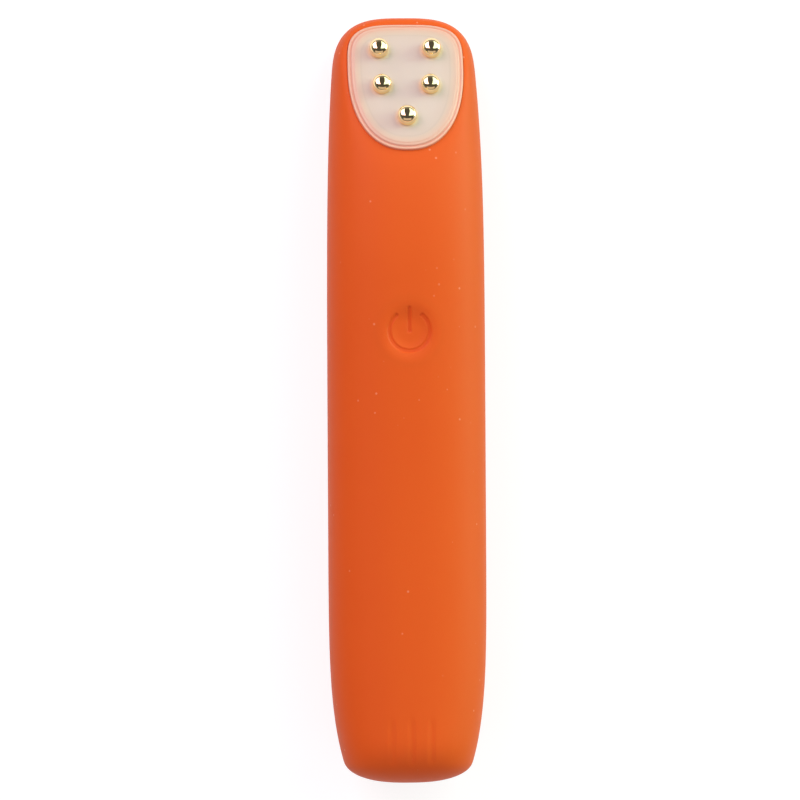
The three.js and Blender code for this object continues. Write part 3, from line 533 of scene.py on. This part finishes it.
class Bench:
    """Adds nodes to one node tree and feeds their inputs."""

    def __init__(self, tree):
        self.tree = tree

    def feed(self, node, **inputs):
        """Gives a node's inputs values or links, by name or by number as input0, input1 and so on."""
        for key, value in inputs.items():
            number = key.removeprefix("input")
            socket = node.inputs[int(number) if number.isdigit() else key.replace("_", " ")]
            if isinstance(value, bpy.types.NodeSocket):
                self.tree.links.new(value, socket)
            else:
                socket.default_value = value

    def add(self, kind, settings=None, **inputs):
        """A new node with its settings and its inputs."""
        node = self.tree.nodes.new(kind)
        for key, value in (settings or {}).items():
            setattr(node, key, value)
        self.feed(node, **inputs)
        return node

    def noise(self, place, *, scale, detail, roughness=0.5):
        """The strength of a cloud of noise at a place."""
        inputs = {"Scale": scale, "Detail": detail, "Roughness": roughness}
        return self.add("ShaderNodeTexNoise", Vector=place, **inputs).outputs["Fac"]

    def mix(self, share, first, second, blend="MIX"):
        """The colour a share of the way from the first to the second."""
        settings = {"data_type": "RGBA", "blend_type": blend}
        return self.add("ShaderNodeMix", settings, input0=share, input6=first, input7=second).outputs[2]

    def ranged(self, value, low, high, start=0.0, end=1.0, kind="LINEAR"):
        """A value that goes from low to high while its source goes from start to end."""
        inputs = {"From_Min": start, "From_Max": end, "To_Min": low, "To_Max": high}
        return self.add("ShaderNodeMapRange", {"interpolation_type": kind}, Value=value, **inputs).outputs[0]

    def reckon(self, operation, first, second):
        """One step of arithmetic."""
        return self.add("ShaderNodeMath", {"operation": operation}, input0=first, input1=second).outputs[0]

    def raised(self, height, *, strength, distance, **under):
        """A surface that seems raised by a height in metres, over another where one is given."""
        inputs = {"Height": height, "Strength": strength, "Distance": distance}
        return self.add("ShaderNodeBump", **inputs, **under).outputs[0]


def new_material(name):
    """A node material, its shader, a bench for its nodes and its Object coordinates."""
    material = bpy.data.materials.new(name)
    material.use_nodes = True
    bench = Bench(material.node_tree)
    place = bench.add("ShaderNodeTexCoord").outputs["Object"]
    return material, material.node_tree.nodes["Principled BSDF"], bench, place


def linear(red, green, blue):
    """A colour as seen on screen, from 0 to 255, as the linear values that a shader takes."""
    seen = np.array([red, green, blue]) / 255
    value = np.where(seen <= 0.04045, seen / 12.92, ((seen + 0.055) / 1.055) ** 2.4)
    return (*value.tolist(), 1)


def make_silicone():
    """Two close oranges in slow clouds, pale specks of dust, and a deeper tone painted in the power sign's
    sunk strokes as their shade.
    """
    material, shader, bench, place = new_material("orange_silicone")
    cloud = bench.noise(place, scale=55.0, detail=3.0)
    body = bench.mix(cloud, linear(*SILICONE_TONES[0]), linear(*SILICONE_TONES[1]))
    dust = bench.add("ShaderNodeTexVoronoi", Vector=place, Scale=430.0, Randomness=1.0)
    near_speck = bench.ranged(dust.outputs["Distance"], 1.0, 0.0, *SPECK_EDGE)
    patches = bench.noise(place, scale=95.0, detail=2.0)
    in_patch = bench.ranged(patches, 0.0, 1.0, *DUSTY_PATCH)
    speck = bench.reckon("MULTIPLY", near_speck, in_patch)
    speck_share = bench.reckon("MULTIPLY", speck, DUST_STRENGTH)
    dusted = bench.mix(speck_share, body, linear(*DUST_TONE))
    # The power sign's share is the mask of the painted shade in its strokes.
    sign = bench.add("ShaderNodeAttribute", {"attribute_name": "sign_shade_share"}).outputs["Fac"]
    grain = bench.noise(place, scale=3600.0, detail=2.0, roughness=0.6)
    swell = bench.noise(place, scale=190.0, detail=2.0)
    fine = bench.raised(grain, strength=0.12, distance=0.00003)
    broad = bench.raised(swell, strength=0.06, distance=0.0002, Normal=fine)
    bench.feed(
        shader,
        Base_Color=bench.mix(sign, dusted, linear(*SIGN_SHADE_TONE)),
        Roughness=bench.ranged(grain, *SILICONE_ROUGHNESS),
        Normal=bench.raised(speck, strength=0.4, distance=0.00004, Normal=broad),
        IOR=1.41,
        Specular_IOR_Level=0.36,
        Subsurface_Weight=0.12,
        Subsurface_Radius=(1.0, 0.35, 0.12),
        Subsurface_Scale=0.0012,
    )
    return material


silicone = make_silicone()
sleeve.data.materials.append(silicone)


# Button membrane: the thin round of the same silicone that is pressed to switch on.
# It dips into a soft dish with the power sign sunk in its floor, and its rim belongs to the sleeve.
DISH_DEPTH = 0.8
DISH_FLOOR = handle_depth - DISH_DEPTH
DISH_FLOOR_RADIUS = 1.2
MEMBRANE_UNDER = handle_depth - SLEEVE_WALL
WEB_START = 4.95
WEB_THICKNESS = 0.5
SIGN_RADIUS = 3.65
SIGN_HALF_STROKE = 0.34
SIGN_EDGE = 0.2
SIGN_DEPTH = 0.16
SIGN_BAR_TOP = 4.1
SIGN_GAP = math.radians(40)
MEMBRANE_RINGS = 96
UNDER_RINGS = 8
UNDER_MIDDLE_SHARE = 0.1


def smooth_step(value):
    """From 0 to 1 with level starts and ends, in slope and in bend."""
    share = np.clip(value, 0, 1)
    return share**3 * (share * (6 * share - 15) + 10)


def sign_distance(x, y):
    """Distance to the middle line of the power sign: an open ring and an upright bar."""
    radius, turn = np.hypot(x, y), np.arctan2(x, y)
    end = np.array([math.sin(SIGN_GAP), math.cos(SIGN_GAP)]) * SIGN_RADIUS
    to_ring = np.abs(radius - SIGN_RADIUS)
    to_end = np.hypot(np.abs(x) - end[0], y - end[1])
    ring = np.where(np.abs(turn) >= SIGN_GAP, to_ring, to_end)
    bar = np.hypot(x, y - np.clip(y, 0, SIGN_BAR_TOP))
    return np.minimum(ring, bar)


def sign_cut(x, y):
    """One on the floor of the power sign and nothing outside it, with a soft wall between."""
    return smooth_step((SIGN_HALF_STROKE + SIGN_EDGE - sign_distance(x, y)) / (2 * SIGN_EDGE))


def membrane_top(plan):
    """The sleeve's skin sinking into the dish, with the sign cut in with soft edges."""
    x, y = plan[:, 0], plan[:, 1] - BUTTON_PLACE
    radius = np.hypot(x, y)
    height = on_outer(plan)[:, 2]
    rise = smooth_step((radius - DISH_FLOOR_RADIUS) / (MEMBRANE_RADIUS - DISH_FLOOR_RADIUS))
    return DISH_FLOOR + (height - DISH_FLOOR) * rise - SIGN_DEPTH * sign_cut(x, y)


def build_membrane(edge):
    """Rings from the middle out to the edge on top, and back to the middle underneath."""
    middle = np.array([0, BUTTON_PLACE])
    shares = np.arange(1, MEMBRANE_RINGS + 1) / MEMBRANE_RINGS
    plans = [middle + (edge[:, :2] - middle) * share for share in shares]
    rings = [np.column_stack([plan, membrane_top(plan)]) for plan in plans]
    rings[-1][:, 2] = edge[:, 2]
    web_share = WEB_START / MEMBRANE_RADIUS
    web_shares = np.linspace(1, web_share, UNDER_RINGS)
    flat_shares = np.linspace(web_share, UNDER_MIDDLE_SHARE, UNDER_RINGS)[1:]
    for share in np.append(web_shares, flat_shares):
        plan = middle + (edge[:, :2] - middle) * share
        web = smooth_step((share - web_share) / (1 - web_share))
        under = MEMBRANE_UNDER + (edge[:, 2] - WEB_THICKNESS - MEMBRANE_UNDER) * web
        rings.append(np.column_stack([plan, under]))
    top = np.array([[0, BUTTON_PLACE, membrane_top(middle[None, :])[0]]])
    return close_up(top, rings, np.array([[0, BUTTON_PLACE, MEMBRANE_UNDER]]))


membrane_points, membrane_faces = build_membrane(membrane_edge)
membrane = put_mesh("button_membrane", membrane_points, membrane_faces)
# Share of the power sign at each point, kept as the mask of its painted shade.
sign_depth = sign_cut(membrane_points[:, 0], membrane_points[:, 1] - BUTTON_PLACE)
sign_shade_share = membrane.data.attributes.new("sign_shade_share", "FLOAT", "POINT")
sign_shade_share.data.foreach_set("value", sign_depth.astype(np.float32))
membrane.data.materials.append(silicone)
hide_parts("button_pad")
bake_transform(membrane)


# Window: a milky moulded pane over the light board, held in the sleeve's lip by its flange.
# Its edge is rounded, a fine channel runs inside it, and its raised face swells very slightly.
PANE_UNDER = -1.9
PANE_PROUD = 0.5
PANE_SWELL = 0.12
PANE_LOOP = 480
PANE_EDGE = (
    (0.0, -0.9), (0.0, -0.1), (0.004, -0.02), (0.018, 0.05), (0.05, 0.11), (0.1, 0.16), (0.17, 0.19),
    (0.26, 0.2), (0.34, 0.198), (0.4, 0.18), (0.45, 0.15), (0.5, 0.14), (0.56, 0.15), (0.62, 0.19),
    (0.68, 0.26), (0.74, 0.33), (0.8, 0.375), (0.88, 0.4), (0.98, 0.408), (1.08, 0.414), (1.15, 0.43),
    (1.22, 0.465), (1.3, 0.488), (1.4, 0.498), (1.55, 0.5),
)
PANE_BOTTOM = ((0.6, -1.9), (0.25, -1.9), (0.08, -1.86), (0.015, -1.78), (0.0, -1.65))
PANE_UNDER_LOOPS = ((0.03, 9), (0.5, 5))
PANE_BANDS = (1.8, 2.1, 2.4, 2.7, 3.1, 3.6)
PANE_INNER_RINGS = 16
PANE_MIDDLE_SHARE = 0.03
PANE_CORE_REACH = 7
PANE_MIDDLE_INSET = 9
PANE_SHARP_ANGLE = 50


def build_pane():
    """Closed loops at even steps along the window's edge: inset and height give each loop its place.

    Past the last inset the loops shrink towards the middle, and the height rises by a soft swell.
    """
    base = window_outline(0)
    step = np.linalg.norm(np.diff(np.concatenate([base, base[:1]]), axis=0), axis=1)
    along = np.append(0, np.cumsum(step))
    steps = np.arange(PANE_LOOP)[::-1] * along[-1] / PANE_LOOP
    places = np.interp(steps, along, np.arange(len(along)))
    middle = np.array([0, -WINDOW_LENGTH / 2])

    def loop_at(inset):
        """The window's edge drawn in by an inset, at the even steps, anticlockwise from above."""
        return at_places(window_outline(inset), places)

    low_edge, inner = loop_at(PANE_BOTTOM[0][0]), loop_at(PANE_BANDS[-1])
    shares = np.linspace(1, PANE_MIDDLE_SHARE, PANE_INNER_RINGS)[1:]
    reach = np.linspace(0, 1, len(PANE_BANDS) + len(shares) + 1)[1:]
    swell = PANE_PROUD + PANE_SWELL * smooth_step(reach)
    loops = [(middle + (low_edge - middle) * share, PANE_UNDER) for share, _ in PANE_UNDER_LOOPS]
    loops += [(loop_at(inset), height) for inset, height in PANE_BOTTOM + PANE_EDGE]
    loops += [(loop_at(inset), height) for inset, height in zip(PANE_BANDS, swell)]
    for share, height in zip(shares, swell[len(PANE_BANDS):]):
        loops.append((middle + (inner - middle) * share, height))
    insets = [inset for _, inset in PANE_UNDER_LOOPS]
    insets += [inset for inset, _ in PANE_BOTTOM + PANE_EDGE] + list(PANE_BANDS)
    insets += [PANE_BANDS[-1] + (1 - share) * PANE_CORE_REACH for share in shares]
    rings = [on_facet(plan, height) for plan, height in loops]
    low, high = (on_facet(middle[None, :], height) for height in (PANE_UNDER, PANE_PROUD + PANE_SWELL))
    points, faces = close_up(low, rings, high)
    at_middle = [PANE_MIDDLE_INSET]
    return points, faces, np.concatenate([at_middle, np.repeat(insets, PANE_LOOP), at_middle])


MILK_REACH = 9.0
# Painted light at the edge: pink for the orange lip's light shining through the pane, with lighter and
# darker bands painted along the rounded edge and its channel as their highlight and shade; milk white
# further in.
MILK_AND_PAINTED_EDGE_LIGHT = (
    (0.0, (230, 156, 124)), (0.22, (234, 192, 166)), (0.5, (228, 160, 134)), (0.62, (226, 163, 138)),
    (0.86, (230, 190, 167)), (1.15, (226, 182, 158)), (1.5, (224, 195, 173)), (2.2, (220, 200, 180)),
    (2.45, (214, 196, 179)), (2.7, (218, 201, 185)), (4.5, (219, 204, 190)), (8.9, (216, 202, 189)),
)
MILK_CLOUDS = ((1, 1, 1, 1), (0.95, 0.94, 0.93, 1))
MILK_ROUGHNESS = (0.29, 0.35)
# Painted glow: the warm gold light that the beads throw onto the pane, coloured into it in a ring round each
# bead's foot.
PAINTED_GOLD_GLOW_TONE = (252, 220, 178)
PAINTED_GOLD_GLOW_SHARE = 0.65
PAINTED_GOLD_GLOW_START = 1.7
PAINTED_GOLD_GLOW_REACH = 2.5


def make_milky(seats):
    """Milk white inside; at the edge, pink painted for the orange lip's light shining through, lighter on
    the rounded crest and step and darker in the channel as painted highlight and shade; and a painted warm
    glow of gold light round the beads.
    """
    material, shader, bench, place = new_material("milky_window")
    inset = bench.add("ShaderNodeAttribute", {"attribute_name": "edge_inset"}).outputs["Fac"]
    milk_and_edge_light_ramp = bench.add("ShaderNodeValToRGB", input0=bench.reckon("DIVIDE", inset, MILK_REACH))
    stops = milk_and_edge_light_ramp.color_ramp.elements
    for number, (distance, colour) in enumerate(MILK_AND_PAINTED_EDGE_LIGHT):
        stop = stops[number] if number < 2 else stops.new(1)
        stop.position = distance / MILK_REACH
        stop.color = linear(*colour)
    cloud = bench.noise(place, scale=120.0, detail=2.0)
    milk_and_edge_light = bench.mix(1.0, milk_and_edge_light_ramp.outputs[0], bench.mix(cloud, *MILK_CLOUDS), "MULTIPLY")
    nearest = None
    for seat in seats:
        apart = bench.add("ShaderNodeVectorMath", {"operation": "DISTANCE"}, input0=place, input1=seat)
        apart = apart.outputs["Value"]
        nearest = bench.reckon("MINIMUM", nearest, apart) if nearest else apart
    # The pane is painted warm near each bead, standing for the gold light that the bead reflects onto it.
    start, reach = PAINTED_GOLD_GLOW_START * MM, PAINTED_GOLD_GLOW_REACH * MM
    painted_gold_glow = bench.ranged(nearest, PAINTED_GOLD_GLOW_SHARE, 0.0, start, reach, "SMOOTHSTEP")
    wave = bench.noise(place, scale=420.0, detail=1.0)
    bench.feed(
        shader,
        Base_Color=bench.mix(painted_gold_glow, milk_and_edge_light, linear(*PAINTED_GOLD_GLOW_TONE)),
        Roughness=bench.ranged(cloud, *MILK_ROUGHNESS),
        Normal=bench.raised(wave, strength=0.05, distance=0.0001),
        IOR=1.49,
        Subsurface_Weight=0.3,
        Subsurface_Radius=(1.0, 0.8, 0.65),
        Subsurface_Scale=0.0008,
    )
    return material


OUTER_BEAD_SHARE = 0.454
INNER_BEAD_SHARE = 0.4165
BEAD_DROPS = (5.5, 12.9, 19.3)
bead_places = [
    (side * window_half * share, -drop)
    for share, drop in ((OUTER_BEAD_SHARE, BEAD_DROPS[0]), (INNER_BEAD_SHARE, BEAD_DROPS[1]))
    for side in (-1, 1)
] + [(0, -BEAD_DROPS[2])]

pane_points, pane_faces, pane_insets = build_pane()
pane = put_mesh("milky_pane", pane_points, pane_faces, PANE_SHARP_ANGLE)
edge_inset = pane.data.attributes.new("edge_inset", "FLOAT", "POINT")
edge_inset.data.foreach_set("value", pane_insets.astype(np.float32))
bead_seats = (on_facet(np.array(bead_places), PANE_PROUD) * MM).tolist()
pane.data.materials.append(make_milky(bead_seats))
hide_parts("head_window")
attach(pane, "handle")


# Massage beads: five gold-plated studs, each turned in one piece with its stem and contact pin.
# The domed head stands on the window, and a collar under the pane keeps it from pulling out.
BEAD_RADIUS = 1.75
BEAD_FOOT_GAP = 0.02
BEAD_FOOT_FILLET = 0.15
BEAD_SIDE = 1.1
BEAD_RISE = 1.3
BEAD_DOME_POWER = 2.4
BEAD_STEM = 0.8
BEAD_COLLAR = 1.2
BEAD_COLLAR_TOP = -2.2
BEAD_COLLAR_LOW = -2.7
BEAD_PIN = 0.6
BEAD_PIN_LOW = -4.8
BEAD_SIDES = 96
DOME_STEPS = 40
FOOT_STEPS = 6
GOLD_TONES = ((1.0, 0.8, 0.46, 1), (0.98, 0.76, 0.42, 1))
GOLD_ROUGHNESS = (0.05, 0.09)


def revolve(profile, centre, sides):
    """A closed turned piece on the facet: a radius and height profile carried round its axis."""
    turn = np.arange(sides) / sides * 2 * math.pi
    round_once = np.stack([np.cos(turn), np.sin(turn)], axis=-1)
    rings = [on_facet(centre + radius * round_once, height) for radius, height in profile[1:-1]]
    low, high = (on_facet(np.array([centre]), profile[end][1]) for end in (0, -1))
    return close_up(low, rings, high)


def bead_profile():
    """Pin, collar and stem in straight steps, a rounded foot, a short side and the dome."""
    foot = PANE_PROUD + BEAD_FOOT_GAP
    shoulder = PANE_PROUD + BEAD_SIDE
    profile = [
        (0, BEAD_PIN_LOW), (BEAD_PIN, BEAD_PIN_LOW), (BEAD_PIN, BEAD_COLLAR_LOW),
        (BEAD_COLLAR, BEAD_COLLAR_LOW), (BEAD_COLLAR, BEAD_COLLAR_TOP), (BEAD_STEM, BEAD_COLLAR_TOP),
        (BEAD_STEM, foot),
    ]
    for turn in np.linspace(0, math.pi / 2, FOOT_STEPS):
        radius = BEAD_RADIUS - BEAD_FOOT_FILLET * (1 - math.sin(turn))
        profile.append((radius, foot + BEAD_FOOT_FILLET * (1 - math.cos(turn))))
    for turn in np.linspace(0, math.pi / 2, DOME_STEPS + 1):
        radius = BEAD_RADIUS * abs(math.cos(turn)) ** (2 / BEAD_DOME_POWER)
        profile.append((radius, shoulder + BEAD_RISE * math.sin(turn) ** (2 / BEAD_DOME_POWER)))
    return profile


def make_gold():
    """Polished plate in two close golds, slightly duller where it is worn."""
    material, shader, bench, place = new_material("gold_plate")
    wear = bench.noise(place, scale=900.0, detail=3.0)
    polish = bench.ranged(wear, *GOLD_ROUGHNESS)
    bench.feed(shader, Base_Color=bench.mix(wear, *GOLD_TONES), Roughness=polish, Metallic=1.0)
    return material


gold = make_gold()
for number, bead_place in enumerate(bead_places, 1):
    bead_points, bead_faces = revolve(bead_profile(), np.array(bead_place), BEAD_SIDES)
    bead = put_mesh(f"gold_bead_{number}", bead_points, bead_faces)
    bead.data.materials.append(gold)
    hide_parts(f"massage_bead_{number}")
    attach(bead, "handle")


# Inner pieces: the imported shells, board, cell, motor and screws keep their meshes.
# Each kind of stuff has its own worked finish, put on the pieces of its slot.
ROUGHNESS_SPREAD = 0.08


def make_worked(name, light, dark, scale, roughness, metallic=0.0, bump=0.1, stretch=(1, 1, 1), coat=0.0):
    """A finish of two mixed tones with its grain in colour, roughness and bump."""
    material, shader, bench, place = new_material(name)
    drawn = bench.add("ShaderNodeMapping", Vector=place, Scale=stretch).outputs[0]
    grain = bench.noise(drawn, scale=float(scale), detail=4.0)
    bench.feed(
        shader,
        Base_Color=bench.mix(grain, linear(*light), linear(*dark)),
        Roughness=bench.ranged(grain, roughness - ROUGHNESS_SPREAD, roughness + ROUGHNESS_SPREAD),
        Normal=bench.raised(grain, strength=bump, distance=0.0001),
        Metallic=metallic,
        Coat_Weight=coat,
    )
    return material


inner_finishes = {
    "pale_rubber": make_worked("pale_rubber", (214, 208, 198), (198, 191, 180), 900, 0.75),
    "white_plastic": make_worked("white_plastic", (228, 225, 216), (216, 212, 202), 1400, 0.45),
    "screw_steel": make_worked("screw_steel", (196, 198, 200), (150, 152, 156), 1200, 0.3, 1.0),
    "chip_black": make_worked("chip_black", (38, 38, 41), (24, 24, 26), 2500, 0.55),
    "board_green": make_worked("board_green", (36, 118, 66), (24, 92, 50), 700, 0.35, coat=0.3),
    "battery_can": make_worked("battery_can", (62, 112, 172), (50, 98, 158), 260, 0.35, coat=0.4),
    "grey_foam": make_worked("grey_foam", (96, 97, 102), (62, 63, 68), 1800, 0.9, bump=0.8),
    "nickel_strip": make_worked("nickel_strip", (208, 204, 190), (176, 171, 158), 900, 0.3, 1.0),
    "black_wire": make_worked("black_wire", (34, 34, 36), (20, 20, 22), 1500, 0.45),
    "red_wire": make_worked("red_wire", (190, 44, 34), (160, 30, 24), 1500, 0.45),
    "motor_steel": make_worked(
        "motor_steel", (186, 187, 191), (148, 150, 155), 500, 0.32, 1.0, stretch=(1, 0.06, 1),
    ),
    "dark_rubber": make_worked("dark_rubber", (52, 52, 55), (36, 36, 38), 1300, 0.8, bump=0.3),
    "led_resin": make_worked("led_resin", (246, 224, 150), (238, 206, 120), 900, 0.25),
    "ribbon_film": make_worked("ribbon_film", (206, 158, 84), (188, 138, 66), 800, 0.4),
    "gold_plate": gold,
}
replaced = {"silicone_sleeve", "button_pad", "head_window"} | {f"massage_bead_{n}" for n in range(1, 6)}
for piece in frame["record"]["subparts"]:
    if piece["node"] in replaced:
        continue
    node = frame["nodes"][piece["node"]]
    node.data.materials.clear()
    node.data.materials.append(inner_finishes[piece["material_slot"]])


# Floor: one wide pale sheet that the massager lies on, white to the camera and in reflections.
# It is grey paper to the light, so it sends little light back up and keeps a soft shadow.
FLOOR_REACH = 3.0
FLOOR_TONES = ((0.34, 0.34, 0.34, 1), (0.32, 0.32, 0.32, 1))
FLOOR_GLOW = 0.78


def make_floor():
    """Grey paper to the light, with a glow that the camera, mirrors and glass alone can see."""
    material = bpy.data.materials.new("pale_floor")
    material.use_nodes = True
    material.node_tree.nodes.clear()
    bench = Bench(material.node_tree)
    path = bench.add("ShaderNodeLightPath").outputs
    seen = bench.reckon("MAXIMUM", path["Is Camera Ray"], path["Is Glossy Ray"])
    seen = bench.reckon("MAXIMUM", seen, path["Is Transmission Ray"])
    cloud = bench.add("ShaderNodeTexNoise", Scale=3.0).outputs["Fac"]
    paper = bench.add("ShaderNodeBsdfDiffuse", Color=bench.mix(cloud, *FLOOR_TONES))
    glow = bench.add("ShaderNodeEmission", Strength=bench.reckon("MULTIPLY", seen, FLOOR_GLOW))
    both = bench.add("ShaderNodeAddShader", input0=paper.outputs[0], input1=glow.outputs[0])
    bench.add("ShaderNodeOutputMaterial", Surface=both.outputs[0])
    return material


floor_mesh = bpy.data.meshes.new("floor")
floor_mesh.from_pydata(
    [(-FLOOR_REACH, -FLOOR_REACH, 0), (FLOOR_REACH, -FLOOR_REACH, 0),
     (FLOOR_REACH, FLOOR_REACH, 0), (-FLOOR_REACH, FLOOR_REACH, 0)],
    [], [(0, 1, 2, 3)],
)
floor = bpy.data.objects.new("floor", floor_mesh)
bpy.context.scene.collection.objects.link(floor)
floor.data.materials.append(make_floor())


# Studio: two big soft boxes beyond the head, left and right, a lit card over the tail that lifts
# the shade there, and a low card far to the right that grazes the right flank. The surround is
# white to the camera, and metal and gloss see a dark ceiling over a paler room in it.
SKY_COLOUR = (0.36, 0.31, 0.34, 1)
WHITE = (1, 1, 1, 1)
CEILING_LEVEL = 0.08
CEILING_EDGE = 0.5
ROOM_LEVEL = 0.3
ROOM_EDGE = 0.1


def make_surround():
    """White to the camera, the sky's colour to the object, and the room's greys in mirrors."""
    world = bpy.data.worlds.new("studio")
    bpy.context.scene.world = world
    world.use_nodes = True
    world.node_tree.nodes.clear()
    bench = Bench(world.node_tree)
    path = bench.add("ShaderNodeLightPath").outputs
    place = bench.add("ShaderNodeTexCoord").outputs["Generated"]
    height = bench.add("ShaderNodeSeparateXYZ", input0=place).outputs["Z"]
    room = bench.ranged(height, CEILING_LEVEL, ROOM_LEVEL, CEILING_EDGE, ROOM_EDGE, "SMOOTHSTEP")
    mirror = bench.reckon("MAXIMUM", path["Is Glossy Ray"], path["Is Transmission Ray"])
    seen = bench.mix(path["Is Camera Ray"], bench.mix(mirror, SKY_COLOUR, room), WHITE)
    sky = bench.add("ShaderNodeBackground", Color=seen)
    bench.add("ShaderNodeOutputWorld", Surface=sky.outputs[0])


def soft_box(name, place, aim, size, watts, colour):
    """A flat lamp of a width and height at a place, turned to face a point."""
    light = bpy.data.lights.new(name, "AREA")
    light.shape = "RECTANGLE"
    light.size, light.size_y = size
    light.energy = watts
    light.color = colour
    lamp = bpy.data.objects.new(name, light)
    bpy.context.scene.collection.objects.link(lamp)
    lamp.location = place
    lamp.rotation_euler = (Vector(aim) - Vector(place)).to_track_quat("-Z", "Y").to_euler()


make_surround()
soft_box(
    "right_box", place=(0.9, 0.72, 0.66), aim=(0.9, 0.0, -0.02),
    size=(1.36, 1.0), watts=9.2, colour=(0.76, 1.0, 0.92),
)
soft_box(
    "left_box", place=(-0.72, 0.72, 0.66), aim=(-0.72, 0.0, -0.02),
    size=(0.98, 0.95), watts=10.3, colour=(1.0, 0.78, 0.91),
)
soft_box(
    "tail_card", place=(0.0, -0.72, 0.84), aim=(0.0, 0.0, -0.02),
    size=(1.9, 0.9), watts=3.0, colour=(1.0, 0.82, 0.75),
)
soft_box(
    "side_card", place=(1.7, 0.6, 0.32), aim=(0.0, 0.05, 0.0),
    size=(1.1, 0.6), watts=20.5, colour=(0.7, 1.0, 0.76),
)


# Camera: a long lens straight above, turned a little to one side as in the photograph.
# The scale is in millimetres to one pixel of the picture, at the height of the aim.
PICTURE_PIXELS = 800
PICTURE_SCALE = 0.18274
CAMERA_YAW = math.radians(3)
CAMERA_ROLL = math.radians(0.32)
CAMERA_DISTANCE = 0.9
NEAREST_SEEN = 0.01
SENSOR = 36
AIM = Vector((-1.15, -0.18, 11.5)) * MM

backwards = Vector((-math.sin(CAMERA_YAW), 0, math.cos(CAMERA_YAW)))
level_right = Vector((math.cos(CAMERA_YAW), 0, math.sin(CAMERA_YAW)))
right = level_right * math.cos(CAMERA_ROLL) - Vector((0, 1, 0)) * math.sin(CAMERA_ROLL)
upward = Vector((0, 1, 0)) * math.cos(CAMERA_ROLL) + level_right * math.sin(CAMERA_ROLL)
lens = bpy.data.cameras.new("camera")
lens.sensor_width = SENSOR
lens.lens = SENSOR * CAMERA_DISTANCE / (PICTURE_PIXELS * PICTURE_SCALE * MM)
lens.clip_start = NEAREST_SEEN
camera = bpy.data.objects.new("camera", lens)
bpy.context.scene.collection.objects.link(camera)
turned = Matrix((right, upward, backwards)).transposed().to_4x4()
camera.matrix_world = Matrix.Translation(AIM + backwards * CAMERA_DISTANCE) @ turned
bpy.context.scene.camera = camera
bpy.context.scene.view_settings.view_transform = "Standard"
